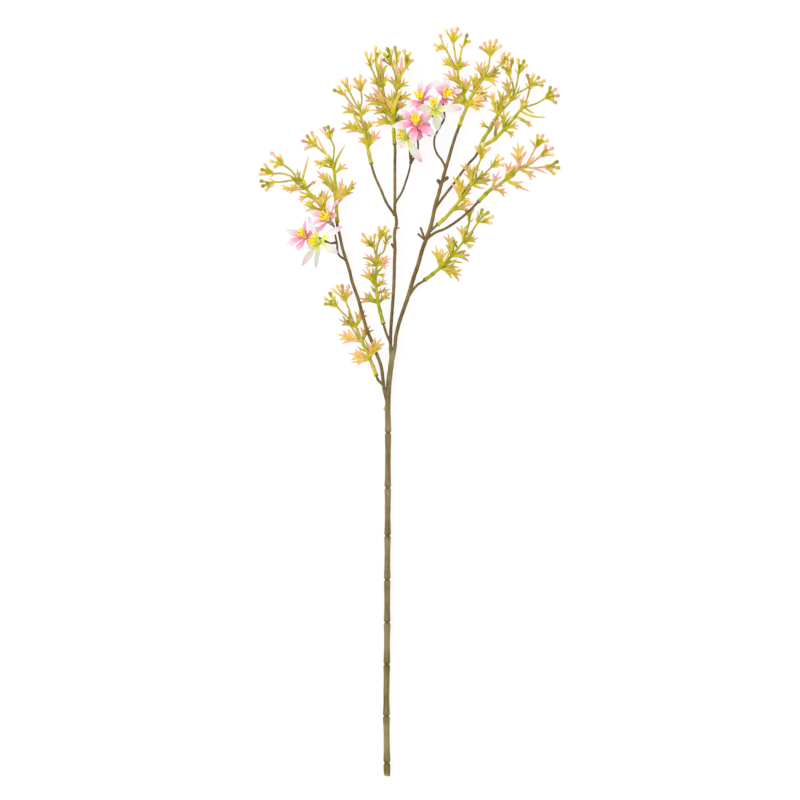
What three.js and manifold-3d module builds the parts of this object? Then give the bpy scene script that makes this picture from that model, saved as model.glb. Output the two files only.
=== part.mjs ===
// Artificial star-flower spray: a jointed plastic trunk forks into three branches, whose twigs carry
// ten plastic foliage sprigs with clustered buds and nine fabric star flowers. It lies on a table.
// Millimetres, +Z up, the trunk along +Y. Plan places are [x, y] measured from the trunk's cut end.
import * as THREE from 'three';
import Module from 'manifold-3d';

const wasm = await Module();
wasm.setup();

// Driving sizes
const CENTRE = [22.5, 375.2];     // middle of the spray in plan, from the cut end
const GAP = 0.3;                  // clearance between pieces that fit together
const WIDE_LEAF = 23;             // leaves this long have two pairs of lobes, shorter ones have one
const BLADE = 0.62;               // thickness of leaves
const TABLE_CLEAR = 0.25;         // lowest middle of a leaf's tip, so that its underside lies on the table
const PETAL = 0.66;               // thickness of petals
const MID_R = 2.6;                // trunk radius between joints
const SHOULDER_R = 3.25;          // trunk radius beside a joint
const NECK_R = 2.0;               // trunk radius in a joint's groove
const SHOULDER_LONG = 2.4;        // from a joint's groove to its shoulder
const TRUNK_SIDES = 8;
const WIRE_SIDES = 6;
const BRANCH_SIDES = 5;
const TWIG_SIDES = 4;
const BUD_SIDES = 3;
const CUP_SIDES = 6;
const SOCKET_SIDES = 5;
const PETALS = 6;
const AXIS_LOW = 2.7;             // height of the trunk's axis at the cut end
const AXIS_RISE = 5;              // how much higher the axis is at the fork
const FORK_Y = 425;               // where the trunk forks
const WIRE_R = 0.8;               // steel wire in the trunk
const BORE_R = 1.3;               // bore that holds it
const WIRE_END = 366;             // how far the wire reaches
const TWIG_R = [1.4, 1.2];        // leaf twig at its root and at its sprig
const PRONG_R = [1.15, 0.85];     // flower twig at its root and at its calyx
const LEAD = 2.4;                 // straight stretch of a twig before its sprig or calyx
const PEG_R = 0.75;               // twig tips, prongs and pegs
const SOCKET_R = 1.18;            // holes that take them
const PEG_DEEP = 5;               // how far a peg goes in
const PRONG_DEEP = 2.6;           // how far a prong goes into a calyx
const RIM_DEEP = 2.6;             // socket in the calyx's rim
const SOCKET_DEEP = 5.6;          // how deep its hole is
const STUB_R = 2.15;              // socket stubs on the trunk
const BLUNT_R = [1.1, 0.9];       // bare stubs on the branches, where a sprig could go
const SLEEVE_R = 2.0;             // sleeve of a sprig at its mouth
const SLEEVE_LONG = 8;            // length of that sleeve
const LIP_LONG = 1.6;             // its thick lip
const SPRIG_R = [1.6, 1.05];     // sprig stem at its sleeve and at its fork
const STALK_R = [0.9, 1.0];       // stalk of a bud cluster, thicker at its end
const SPARE_BUD = 4;              // one bud in this many is left out, to keep the facets few
const KNOB_LONG = 0.8;            // how far that end goes past the buds' roots
const BUD_R = 2.2;                // bud at its widest
const BUD_SHAPE = [[0, 0.3], [0.5, 0.5], [0.84, BUD_R], [1.08, 0.7]];  // [way from root to head, radius]
const CALYX_LONG = 7;             // calyx from its foot to its rim
const CALYX_SHAPE = [[-CALYX_LONG, 1.8], [-4, 2.0], [0, 2.75]];  // [way along the calyx, radius]
const RING_R = 2.7;               // middle ring of a star, where the petals start
const RING_HOLE_R = 1.25;         // hole in that ring
const PETAL_WIDE = 8.4;           // petal at its widest
const PETAL_ROWS = [[0.36, 0.38], [0.72, 0.48]];  // [way along a petal, half width there]
const PETAL_ARCH = 0.4;           // how far a petal arches, against its length
const PETAL_SHARE = 0.85;         // most of the room up to half way to the next petal that a petal fills
const WIDEST_SHARE = 1.2;         // half of the widest turn between petals that counts, in radians
const STAMEN_LONG = 11;
const STAMENS = 7;
const FLANGE_R = 1.6;             // flange that the stamens stand on
const FLANGE_THICK = 0.6;
const STEP = 0.75;                // rim of a calyx to the middle of its star's thickness

// Trunk
const TRUNK = [[0, 0], [-0.6, 65], [0, 137], [0.2, 197], [0.8, 287], [1, 344], [1, 379], [2.4, 399],
  [4, 411.5], [5.6, FORK_Y]];
const JOINTS = [13, 60, 112, 154, 197, 241, 289, 344, 406];
const TRUNK_TOP = 427.5;

// Socket stubs on the trunk: root inside it and open mouth, [x, y, height above the trunk's axis]
const STUBS = {
  left: [[0.6, 374, 0], [-2.9, 388, 2.2]],
  centre: [[4.6, 418, 0], [3.6, 430.5, 0.4]],
  right: [[5.6, 418, 0], [8.0, 430.5, 0.4]],
};

// Branch and twig routes, [x, y, z]. A branch starts at its stub's mouth, a leaf twig ends in a sleeve.
const BRANCHES = {
  branch_left: {
    from: 'left',
    radius: [1.75, 1.45],
    route: [[-3.7, 394.5, 10], [-6, 411, 9.5], [-10.8, 424, 9], [-15.4, 436, 9], [-20, 447, 9],
      [-24.6, 463, 9],
      [-29.2, 479, 9], [-35.3, 497, 9], [-37.4, 506, 9], [-40.5, 516, 9], [-44.6, 529, 9], [-47.6, 543, 9]],
    ends: 'sprig_left_top',
    twigs: [
      { route: [[-3.4, 392.5, 9.8], [-6.5, 394.4, 9]], ends: 'sprig_left_low' },
      { route: [[-41, 517, 9], [-48, 522, 10.5], [-50.2, 534.4, 12], [-52, 543, 13.5]],
        ends: 'flower_left_top' },
      { route: [[-50.2, 534.4, 12], [-58, 533.5, 13], [-64, 533.8, 15]], ends: 'flower_left_front' },
      { route: [[-58, 533.5, 13], [-66, 538.6, 9.6], [-72, 539.6, 8.2]], ends: 'flower_left_side' },
    ],
  },
  branch_centre: {
    from: 'centre',
    radius: [1.7, 1.4],
    route: [[3.6, 440, 8.6], [5, 465, 9], [6.3, 482, 9], [7, 496, 9], [7.5, 516, 9], [8, 527, 9],
      [8, 547, 9],
      [9.3, 552, 9], [9.2, 559, 9], [8, 565, 9], [7.9, 576, 9], [7.9, 596, 9], [7.9, 616, 9]],
    ends: 'sprig_centre_top',
    twigs: [
      { route: [[3.6, 434.5, 8.6], [0.3, 441, 10]], ends: 'sprig_left_inner' },
      { route: [[8, 527, 9], [4.6, 532.8, 9.4]], blunt: true },
      { route: [[7.9, 562, 9], [-0.3, 574, 9], [-6.4, 588.2, 9], [-11.5, 599.4, 9]],
        ends: 'sprig_centre_left' },
      { route: [[7.9, 574, 9], [15, 585.2, 9.5], [19.1, 596.4, 10], [22.2, 606.6, 10], [23.4, 613.7, 10.5],
        [22.9, 621, 11], [22.8, 628, 11.2]], ends: 'flower_centre_back' },
      { route: [[23.4, 613.7, 10.5], [25.4, 624, 12], [27, 634, 14.5]], ends: 'flower_centre_front' },
      { route: [[23.4, 613.7, 10.5], [27.5, 620, 9.6], [30.8, 628, 8.4]], ends: 'flower_centre_side' },
    ],
  },
  branch_right: {
    from: 'right',
    radius: [1.8, 1.45],
    route: [[9, 441, 8.6], [11.8, 453, 9], [15.7, 465, 9], [19.7, 476.4, 9], [22.8, 486, 9], [26.9, 500, 9],
      [31, 512, 9], [35, 526.4, 9], [39.1, 537.6, 9], [43.2, 549, 9], [45.3, 557, 9], [48.5, 572.4, 9],
      [51.9, 584, 9], [54.2, 592.5, 9], [58.3, 607, 9], [61.7, 618.3, 9], [65, 630, 9], [68.6, 641.3, 9]],
    ends: 'sprig_right_top',
    twigs: [
      { route: [[19.7, 476.4, 9], [25.4, 486.4, 8.6], [31, 492.7, 8]], ends: 'sprig_right_low' },
      { route: [[37.1, 534, 9], [33.3, 544, 10.5]], blunt: true },
      { route: [[37.1, 532, 9], [30.4, 541, 7.5]], blunt: true },
      { route: [[39.1, 538, 9], [48.8, 544.7, 9], [57.4, 548.1, 9.5], [66.1, 553.3, 10],
        [74.7, 559.6, 10.5],
        [83.3, 567, 11]], ends: 'sprig_right_far' },
      { route: [[41.5, 544.5, 9], [46.5, 549, 10]], ends: 'sprig_right_inner' },
      { route: [[47.5, 568, 9], [54.8, 578, 8.5], [60.6, 585.6, 8], [67.4, 594.2, 8], [74.3, 604, 8],
        [81.8, 613.7, 8]], ends: 'sprig_right_outer' },
      { route: [[53.8, 591, 9], [50.5, 598, 10.5]], blunt: true },
      { route: [[54.6, 594, 9], [61.4, 600.5, 10.5]], blunt: true },
      { route: [[58.8, 609, 9], [54.8, 617, 10], [50.2, 623, 10.5], [47.6, 630, 11], [47.9, 640.7, 11],
        [51.4, 648, 11.5], [49.5, 658, 12.5]], ends: 'flower_right_front' },
      { route: [[51.4, 648, 11.5], [57.5, 660, 8.4], [57.2, 666, 5.8]], ends: 'flower_right_top' },
      { route: [[49.5, 658, 12.5], [41.5, 664.5, 8.4]], ends: 'flower_right_side' },
    ],
  },
};

// Foliage sprigs. stem: [x, y] from the sleeve's mouth to the fork; lift: its height there and there.
// leaves: [stem point, tip x, tip y, tip's rise above its root]; a sliver is a narrow blade like it.
// clusters: a stalk from the stem's end, its rise, and the buds' heads.
const SPRIGS = {
  sprig_left_low: [{
    stem: [[-10.4, 400.6], [-14, 410.5], [-17.3, 418.2], [-20, 426], [-24.6, 435], [-28.4, 443.4],
      [-31.4, 450.3], [-33.7, 455]],
    lift: [8, 7],
    leaves: [[2, -39, 424, -8], [2, -36, 415, -2], [2, -5, 439, 8], [4, -51, 443, -8], [4, -16, 452, -5],
      [6, -49, 458.5, 3], [6, -22, 468, -5]],
    slivers: [[3, -30, 431, 4]],
    clusters: [
      { stalk: [[-38.3, 459], [-45.2, 465], [-50.6, 471]], rise: -1,
        buds: [[-63, 479], [-62.4, 473.4], [-57.5, 484.4], [-53.6, 480.2]] },
      { stalk: [[-37, 465], [-41.4, 476.3]], rise: 3,
        buds: [[-50, 491], [-45.2, 492], [-38.7, 491.6], [-35.7, 485], [-55.2, 488]] }],
  }],
  sprig_left_inner: [{
    stem: [[-3.4, 452.5], [-7.1, 466], [-8.8, 474], [-10.5, 484], [-11, 490], [-11, 503], [-10.5, 512],
      [-11, 520]],
    lift: [11, 11],
    leaves: [[2, -28, 479, -4], [2, 6, 485, 5], [4, -25, 508, 3], [4, 0, 497, 4], [6, 5, 519, 5],
      [6, -22, 524, -4]],
    slivers: [[3, -16, 492, 3], [5, -2, 512, 3]],
    clusters: [
      { stalk: [[-13, 529.6]], rise: -1,
        buds: [[-24.6, 543], [-25.5, 537], [-17.5, 541], [-20.4, 532.4], [-12.6, 543]] },
      { stalk: [[-9.6, 530.5], [-7.1, 538]], rise: 2, buds: [[-8.4, 550], [-2.2, 550.6], [1.4, 547.4]] },
      { stalk: [[-3.8, 525], [-1.3, 533]], rise: 5, buds: [[3.4, 541], [-1.6, 543.4]] }],
  }],
  sprig_left_top: [{
    stem: [[-49.9, 554.2], [-51, 573], [-52.2, 584], [-52.6, 603], [-53.7, 609], [-54.1, 615]],
    lift: [9, 11],
    leaves: [[2, -71, 607, 4], [1, -45, 600, 3], [1, -30, 595.5, 0], [4, -63, 621, -4], [3, -40, 614, -3]],
    slivers: [[4, -74.4, 616.4, -5], [4, -41.5, 632.5, 3], [5, -69, 640, -2]],
    clusters: [
      { stalk: [[-57.1, 619.5], [-66.3, 627], [-70.5, 631]], rise: 1,
        buds: [[-75.5, 645], [-71, 641], [-80.5, 641.4], [-84.7, 636], [-82.4, 628.3]] },
      { stalk: [[-53.3, 622.6], [-53, 630.2], [-56.4, 638]], rise: 3,
        buds: [[-63.3, 649.5], [-59.1, 650.6], [-54, 648.4]] }],
  }, {
    stem: [[-50.8, 561], [-63, 567], [-70.7, 577], [-75.8, 582], [-81, 588.5], [-85.5, 594.7],
      [-89.6, 596.7]],
    lift: [9.2, 8],
    leaves: [[5, -90, 609, 4], [4, -106.4, 588.5, -9], [3, -90, 577, -3], [2, -61, 586.5, 3],
      [2, -84, 571.5, -5],
      [4, -70, 597, 3]],
    slivers: [[5, -78, 622, 3], [5, -97.2, 587, 3]],
    clusters: [
      { stalk: [[-94.7, 605.4], [-104.3, 612.5]], rise: 5,
        buds: [[-115.6, 624], [-107.7, 622], [-117, 616], [-113, 609.6]] },
      { stalk: [[-96.2, 601], [-106.4, 603.8], [-114, 603.3]], rise: 1.5,
        buds: [[-122.7, 613], [-126, 607.8], [-127.6, 603.2]] },
      { stalk: [[-95.2, 597], [-103.8, 595.7], [-113.5, 595.2]], rise: -3,
        buds: [[-127, 596.6], [-125.4, 591], [-121.7, 587]] }],
  }],
  sprig_centre_left: [{
    stem: [[-15.6, 612.7], [-18, 623], [-19.4, 630.6], [-21.7, 644], [-24, 653], [-26.4, 661],
      [-27.1, 667]],
    lift: [9, 10],
    leaves: [[2, -7, 647, 2], [2, -29, 640, -5], [3, -46, 655, 3], [3, -13, 657, -4], [5, -46.5, 672, -4],
      [5, -17, 671, 4]],
    slivers: [[4, -34, 664, 4]],
    clusters: [
      { stalk: [[-33, 671], [-42.5, 682.5]], rise: -3, buds: [[-53.4, 687.5], [-49.4, 691.6]] },
      { stalk: [[-31, 673], [-38, 686]], rise: 1, buds: [[-46.4, 697], [-41, 699]] },
      { stalk: [[-25.2, 677], [-26, 685.6]], rise: 5,
        buds: [[-32.7, 698.2], [-26.8, 701.4], [-21.8, 697], [-34, 690.7]] }],
  }],
  sprig_centre_top: [{
    stem: [[7.8, 632], [6.7, 645], [6.3, 652.6], [3.6, 662], [0.6, 671], [-3.3, 683.2], [-4, 689]],
    lift: [9, 10],
    leaves: [[2, -15, 655, -7], [3, -16, 667, 2], [2, 24, 664, -5], [4, -24, 684, -3], [4, -13, 686, 4],
      [6, -18.6, 700, 3], [6, 1, 703, 4]],
    slivers: [[6, -6, 708, 6], [3, -8, 676, 5]],
    clusters: [
      { stalk: [[-11, 699], [-14.4, 706.4], [-16.7, 711.4]], rise: -1, buds: [[-21.8, 725.5], [-16, 724]] },
      { stalk: [[-8, 700.6], [-10.2, 708.3], [-11.6, 714.8]], rise: 2, buds: [[-11.5, 730], [-7, 726]] }],
  }, {
    stem: [[6.6, 650], [8, 664], [8.6, 675.5], [9.7, 686.5]],
    lift: [9.2, 8],
    leaves: [[1, 20, 677, 3], [2, 25, 684, -3], [3, 22, 696, 3], [2, -2, 680, -4], [3, 3, 702, -4]],
    slivers: [[3, 16, 704, 4]],
    clusters: [
      { stalk: [[9.4, 695], [7.8, 704.5], [5, 712]], rise: 0,
        buds: [[-3.3, 724], [0.2, 729], [4.4, 727], [-4, 718]] },
      { stalk: [[10.4, 700], [9.6, 714]], rise: 4, buds: [[7.8, 730], [11.6, 726]] },
      { stalk: [[14.7, 702.6], [17.8, 708.3], [19.3, 713]], rise: 2,
        buds: [[17, 727], [23, 725], [26, 717.6]] }],
  }],
  sprig_right_top: [{
    stem: [[72, 650.5], [75, 659], [79.6, 672], [76.6, 682], [72.7, 693], [70.5, 707]],
    lift: [9, 11],
    leaves: [[2, 97, 670, -4], [3, 61, 690, -4], [4, 55, 704, 3], [3, 84, 700, 4], [5, 54, 719, -3],
      [5, 82, 716, 3]],
    slivers: [[5, 73, 725, 5], [4, 66, 708, 5]],
    clusters: [
      { stalk: [[63.5, 719.2], [58.6, 728.5]], rise: -2, buds: [[46.8, 733], [48.9, 727], [53, 742]] },
      { stalk: [[68.6, 719], [66.3, 734]], rise: 1.5,
        buds: [[58.5, 747], [64.4, 748], [70.6, 749], [74, 743]] },
      { stalk: [[73.2, 721], [75, 729]], rise: 4, buds: [[80, 742], [83, 736]] }],
  }, {
    stem: [[79.2, 670], [87, 685], [95.9, 698]],
    lift: [9.4, 8],
    leaves: [[1, 103, 680, -4], [1, 88, 705, -2], [2, 112, 695, 2], [2, 89, 716, 3], [2, 115, 706, -4]],
    slivers: [[2, 98, 718, 4], [1, 106, 692, 4]],
    clusters: [
      { stalk: [[101, 708], [103, 721]], rise: 3,
        buds: [[93, 730], [97, 734.5], [103, 736.5], [109.5, 737], [114, 732]] },
      { stalk: [[107, 708], [115, 713.5]], rise: -1, buds: [[116.7, 724.6], [122.6, 724.6], [126, 719]] }],
  }],
  sprig_right_outer: [{
    stem: [[91, 625.6], [96.4, 638], [103.3, 648.4], [111.4, 662.8], [123.4, 676.6], [126.5, 682]],
    lift: [8, 10],
    leaves: [[3, 104.5, 686, 2], [3, 117, 687, -4], [4, 119, 700, 4], [2, 92, 655, -3]],
    slivers: [[4, 134, 683, 5], [3, 100, 668, 4]],
    clusters: [
      { stalk: [[126, 692], [122.6, 701.5]], rise: 0,
        buds: [[115.4, 710.6], [119.6, 716], [125.4, 716.6]] },
      { stalk: [[129, 690], [131.6, 703.6]], rise: 3, buds: [[131, 717.4], [137, 716.4], [140, 712]] },
      { stalk: [[134.2, 685.6], [144, 691.5]], rise: 6, buds: [[155.6, 691], [152, 700], [157.4, 696]] }],
  }, {
    stem: [[93.2, 630], [107.9, 638.4], [117, 647.6], [128.6, 661], [133.2, 667], [137.8, 670.3]],
    lift: [8.4, 7],
    leaves: [[2, 117, 668, 4], [3, 147, 651, -8], [2, 128, 641, -4], [4, 137, 682, -4]],
    slivers: [[4, 159.6, 660, 4], [5, 148, 664, -2]],
    clusters: [
      { stalk: [[140.6, 680], [143, 689]], rise: -3, buds: [[140.4, 703], [147, 703.6]] },
      { stalk: [[150.4, 674.4], [159, 679.4]], rise: 1,
        buds: [[163.6, 690.4], [169.4, 688.6], [172, 682], [169.4, 674.3]] }],
  }],
  sprig_right_far: [{
    stem: [[91, 575], [98.7, 583], [105.6, 588.7], [111.9, 592], [118.3, 597.3], [125, 602.5],
      [132.6, 608.2], [138, 610]],
    lift: [11, 8],
    leaves: [[2, 113, 607, 3], [2, 121, 584, -5], [4, 125, 616, -3], [6, 131, 636, 3], [6, 150, 600, -9],
      [4, 136, 590, 3]],
    slivers: [[4, 143.5, 586, -4], [5, 138, 625, 5], [7, 160, 603, 2]],
    clusters: [
      { stalk: [[141.6, 616], [148.7, 630]], rise: 4, buds: [[150.4, 642], [156, 642], [161, 637]] },
      { stalk: [[145, 614.5], [153.9, 621.4]], rise: 1,
        buds: [[159, 631.6], [166, 629.4], [166.6, 622.6]] },
      { stalk: [[146, 609.5], [157.9, 610.5]], rise: -3,
        buds: [[171, 616], [172.6, 609.6], [168, 603.6]] }],
  }],
  sprig_right_inner: [{
    stem: [[50, 552], [56, 557], [65, 566.6], [73.2, 577], [79, 585], [84.7, 592.5], [88.7, 597.6]],
    lift: [10.6, 15],
    leaves: [[3, 72, 602, 3.5], [3, 82, 594, -2], [2, 87, 572.5, 4], [5, 77.2, 615, 2], [5, 107, 597, 2]],
    slivers: [[5, 98, 588, 4]],
    clusters: [
      { stalk: [[90.6, 610], [94, 618.4]], rise: 2, buds: [[88, 630], [95.6, 633], [102.4, 629]] },
      { stalk: [[96, 602], [105, 610.4]], rise: -1, buds: [[111, 622], [116, 619], [116.6, 612]] }],
  }],
  sprig_right_low: [{
    stem: [[36.8, 496.5], [46, 503.4], [53.4, 509.7], [59.7, 516], [64.3, 521], [70.6, 528.6],
      [76.4, 535.5]],
    lift: [7.4, 4],
    leaves: [[2, 49, 532, -1.5], [2, 76, 502, -7], [4, 61, 544, -1.5], [4, 84, 522, -3], [6, 74, 553, -1],
      [6, 92, 540, -3]],
    slivers: [[3, 76, 514, 4], [5, 66, 541, 2]],
    clusters: [
      { stalk: [[79.6, 545], [82.6, 556]], rise: 0, buds: [[79.4, 567], [86, 569]] },
      { stalk: [[83, 543], [91, 555]], rise: 1,
        buds: [[106, 560.8], [104.5, 554.4], [101.6, 565.4], [95.4, 568]] }],
  }],
};

// Flowers: the middle of the star, the way it faces, how far its stamens nod to the side in x and y, and
// the tips of its six petals in order round it
const FLOWERS = {
  flower_left_front: { at: [-67.5, 534.5, 28], faces: [-0.2, 0.05, 0.97], nods: [-0.9, 0], white: true,
    tips: [[-44.6, 549.2, 31], [-48.6, 523.2, 30], [-71.1, 508.4, 31], [-84.5, 510.5, 31],
      [-79, 528, 31], [-78, 559.4, 32]] },
  flower_left_side: { at: [-81, 540, 14], faces: [-0.5, 0.05, 0.86], nods: [-0.3, 0.5], white: false,
    tips: [[-81, 558.5, 17], [-66, 549, 12], [-70, 529, 10], [-90, 526.5, 11], [-101, 531.5, 16],
      [-101.6, 547.3, 18]] },
  flower_left_top: { at: [-58, 556, 19.5], faces: [-0.45, 0.45, 0.77], nods: [-0.1, 0.1], white: false,
    tips: [[-57, 576.8, 24], [-48, 577.5, 19], [-50.5, 563, 18.5], [-69, 545.5, 17], [-75, 552.5, 21],
      [-77.7, 566, 23]] },
  flower_centre_front: { at: [28.5, 651, 29], faces: [-0.06, 0.1, 0.99], nods: [0.1, 0.8], white: false,
    tips: [[27, 669, 34], [44, 665.5, 32], [48.4, 640.3, 31], [25, 629.4, 31], [4.5, 649, 32],
      [13.2, 666.3, 33]] },
  flower_centre_back: { at: [19, 639, 19], faces: [-0.35, 0.2, 0.91], nods: [-0.3, 0.1], white: true,
    tips: [[17, 655, 17], [10, 650, 19], [8.5, 640, 22], [13.5, 628.5, 22], [35, 614, 18.5],
      [25, 646, 15.5]] },
  flower_centre_side: { at: [33, 648, 13], faces: [0.3, 0.15, 0.94], nods: [0.1, 0.4], white: false,
    tips: [[34, 660, 12], [43.6, 653, 11.5], [44.5, 640.5, 10.5], [32, 636.5, 9.6], [23, 644, 9.8],
      [24, 655, 12]] },
  flower_right_front: { at: [47.4, 667, 22], faces: [0, 0.1, 0.99], nods: [-0.1, 1], white: true,
    tips: [[45, 680, 28], [75.2, 667.2, 24], [57.5, 658.5, 15.5], [51, 645.5, 21], [34, 653, 21.5],
      [31, 668.5, 23]] },
  flower_right_side: { at: [34, 676, 13.5], faces: [-0.2, 0.35, 0.92], nods: [-0.1, 0.6], white: false,
    tips: [[34.5, 697.5, 17], [48, 696, 12.5], [46, 680, 9.5], [38, 666, 10], [28.5, 664.5, 14],
      [18.5, 669.8, 15]] },
  flower_right_top: { at: [57.3, 679, 14.5], faces: [0.1, 0.35, 0.93], nods: [0.3, 0.3], white: false,
    tips: [[60, 700.5, 19], [75.5, 686.5, 17], [68.5, 674, 10.5], [61, 668, 9.5], [50.5, 668.5, 11.4],
      [47.5, 696.5, 18]] },
};

// Colours and finishes
const STEM = new THREE.MeshStandardMaterial({ color: 0x857443, roughness: 0.6 });
const TWIG = new THREE.MeshStandardMaterial({ color: 0x7a6636, roughness: 0.6 });
const STEEL = new THREE.MeshStandardMaterial({ color: 0x9a9a98, roughness: 0.4, metalness: 1 });
const LEAF = new THREE.MeshStandardMaterial({ color: 0xb4b04a, roughness: 0.55 });
const CUP = new THREE.MeshStandardMaterial({ color: 0x8f9468, roughness: 0.55 });
const PINK = new THREE.MeshStandardMaterial({ color: 0xf7a6c6, roughness: 0.85 });
const WHITE = new THREE.MeshStandardMaterial({ color: 0xeef0c8, roughness: 0.85 });
const YELLOW = new THREE.MeshStandardMaterial({ color: 0xf3c71c, roughness: 0.5 });

const UP = new THREE.Vector3(0, 0, 1);
const spray = new THREE.Group();

function at(p) {
  return new THREE.Vector3(p[0], p[1], p[2] ?? 0);
}

// Even spread of draws from 0 to 1 that is the same each time
function draws(seed) {
  let state = seed;
  return () => {
    state = (state * 48271) % 2147483647;
    return state / 2147483647;
  };
}

// Height of the trunk's axis, which curves up towards the fork
function axisHeight(y) {
  return AXIS_LOW + AXIS_RISE * (y / FORK_Y) ** 2;
}

// Place on the trunk's axis, straight between its route points
function trunkAt(y) {
  const last = TRUNK.length - 1;
  const i = Math.min(TRUNK.findIndex((p, k) => k === last - 1 || TRUNK[k + 1][1] > y), last - 1);
  const [a, b] = [TRUNK[i], TRUNK[i + 1]];
  const x = a[0] + (b[0] - a[0]) * (y - a[1]) / (b[1] - a[1]);
  return new THREE.Vector3(x, y, axisHeight(y));
}

// A closed solid from points and triangles. Points under the table are laid on it.
function solid(points, triangles) {
  const vertProperties = new Float32Array(points.flatMap((p) => [p.x, p.y, Math.max(p.z, 0)]));
  const triVerts = new Uint32Array(triangles.flat());
  return new wasm.Manifold(new wasm.Mesh({ numProp: 3, vertProperties, triVerts }));
}

// Round tube along points, with a radius at each, closed flat at both ends
function tube(points, radii, sides) {
  const corners = [];
  const faces = [];
  const last = points.length - 1;
  let across = new THREE.Vector3();
  points.forEach((p, i) => {
    const along = points[Math.min(i + 1, last)].clone().sub(points[Math.max(i - 1, 0)]).normalize();
    if (i === 0) across.crossVectors(along, Math.abs(along.z) > 0.9 ? new THREE.Vector3(0, 1, 0) : UP);
    across = across.clone().addScaledVector(along, -across.dot(along)).normalize();
    const over = new THREE.Vector3().crossVectors(across, along);
    for (let k = 0; k < sides; k += 1) {
      const turn = 2 * Math.PI * (k + 0.5) / sides;
      corners.push(p.clone().addScaledVector(across, Math.cos(turn) * radii[i])
        .addScaledVector(over, Math.sin(turn) * radii[i]));
    }
    for (let k = 0; i > 0 && k < sides; k += 1) {
      const [a, b] = [(i - 1) * sides + k, (i - 1) * sides + (k + 1) % sides];
      faces.push([a, a + sides, b + sides], [a, b + sides, b]);
    }
  });
  for (let k = 1; k < sides - 1; k += 1) {
    faces.push([0, k, k + 1], [last * sides, last * sides + k + 1, last * sides + k]);
  }
  return solid(corners, faces);
}

// Radii that go evenly from the first to the last of n rings
function taper(range, n) {
  return Array.from({ length: n }, (_, i) => range[0] + (range[1] - range[0]) * i / (n - 1));
}

// Thin blade: pairs of [left, right] points from root to tip, an apex, and pointed lobes that stand out
// from the edge between two pairs. Both faces are split alike.
function blade(pairs, apex, lobes, normal, thick) {
  const outline = [];
  const [right, left] = [[], []];
  pairs.forEach((pair, i) => {
    right.push(pair[1]);
    left.push(pair[0]);
    lobes.filter((lobe) => lobe.after === i).forEach((lobe) => {
      right.push(lobe.tips[1]);
      left.push(lobe.tips[0]);
    });
  });
  outline.push(...right, apex, ...left.reverse());
  const index = (p) => outline.indexOf(p);
  const top = [];
  pairs.forEach(([l, r], i) => {
    if (i === pairs.length - 1) {
      top.push([index(r), index(apex), index(l)]);
      return;
    }
    const [nextL, nextR] = pairs[i + 1];
    top.push([index(r), index(nextR), index(nextL)], [index(r), index(nextL), index(l)]);
    lobes.filter((lobe) => lobe.after === i).forEach((lobe) => {
      top.push([index(r), index(lobe.tips[1]), index(nextR)],
        [index(nextL), index(lobe.tips[0]), index(l)]);
    });
  });
  const n = outline.length;
  const points = outline.map((p) => p.clone().addScaledVector(normal, thick / 2));
  points.push(...outline.map((p) => p.clone().addScaledVector(normal, -thick / 2)));
  const faces = [...top, ...top.map(([a, b, c]) => [a + n, c + n, b + n])];
  for (let i = 0; i < n; i += 1) {
    const j = (i + 1) % n;
    faces.push([i, i + n, j + n], [i, j + n, j]);
  }
  return solid(points, faces);
}

// Arched leaf from root to tip. cuts: how many pairs of lobes its edges are cut into.
function leaf(root, tip, cuts, draw) {
  const reach = tip.clone().sub(root);
  const long = reach.length();
  const along = reach.clone().normalize();
  const right = new THREE.Vector3().crossVectors(along, UP).normalize();
  const normal = new THREE.Vector3().crossVectors(right, along);
  const arch = long * (0.06 + 0.05 * draw());
  const sweep = long * 0.12 * (draw() - 0.5);
  const rib = (s) => root.clone().addScaledVector(reach, s).addScaledVector(normal, arch * 4 * s * (1 - s))
    .addScaledVector(right, sweep * 4 * s * (1 - s));
  const pair = (s, half) => [rib(s).addScaledVector(right, -half), rib(s).addScaledVector(right, half)];
  if (cuts === 0) return blade([pair(0, 0.45), pair(0.45, 0.95)], rib(1), [], normal, BLADE);
  const steps = cuts === 1 ? [0.3, 0.64] : [0.2, 0.46, 0.7];
  const pairs = [pair(0, 0.4), ...steps.map((s, i) => pair(s, 1.15 - 0.1 * i))];
  const lobes = steps.slice(0, -1).map((s, i) => {
    const out = long * (cuts === 1 ? 0.3 : 0.35 - 0.06 * i) * (0.85 + 0.3 * draw());
    const ahead = rib(steps[i + 1] + 0.03 + 0.06 * draw()).addScaledVector(normal, -0.12 * out);
    return { after: i + 1, tips: [-out, out].map((o) => ahead.clone().addScaledVector(right, o)) };
  });
  return blade(pairs, rib(1), lobes, normal, BLADE);
}

// Club-shaped bud on its own thin stalk, from the cluster's root to its head
function bud(root, head) {
  const reach = head.clone().sub(root);
  const places = BUD_SHAPE.map(([s]) => root.clone().addScaledVector(reach, s));
  return tube(places, BUD_SHAPE.map(([, r]) => r), BUD_SIDES);
}

// Hole from a mouth inwards along a direction
function hole(mouth, inward) {
  const ends = [-1, SOCKET_DEEP].map((s) => mouth.clone().addScaledVector(inward, s));
  return tube(ends, [SOCKET_R, SOCKET_R], SOCKET_SIDES);
}

function addMesh(name, shape, material) {
  const mesh = shape.getMesh();
  const geometry = new THREE.BufferGeometry();
  geometry.setAttribute('position', new THREE.BufferAttribute(mesh.vertProperties, 3));
  geometry.setIndex(new THREE.BufferAttribute(mesh.triVerts, 1));
  geometry.computeVertexNormals();
  const part = new THREE.Mesh(geometry, material);
  part.name = name;
  spray.add(part);
}

// Points of a sprig's stem, raised evenly from its sleeve to its fork
function stemPoints({ stem, lift }) {
  const heights = taper(lift, stem.length);
  return stem.map(([x, y], i) => new THREE.Vector3(x, y, heights[i]));
}

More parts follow.
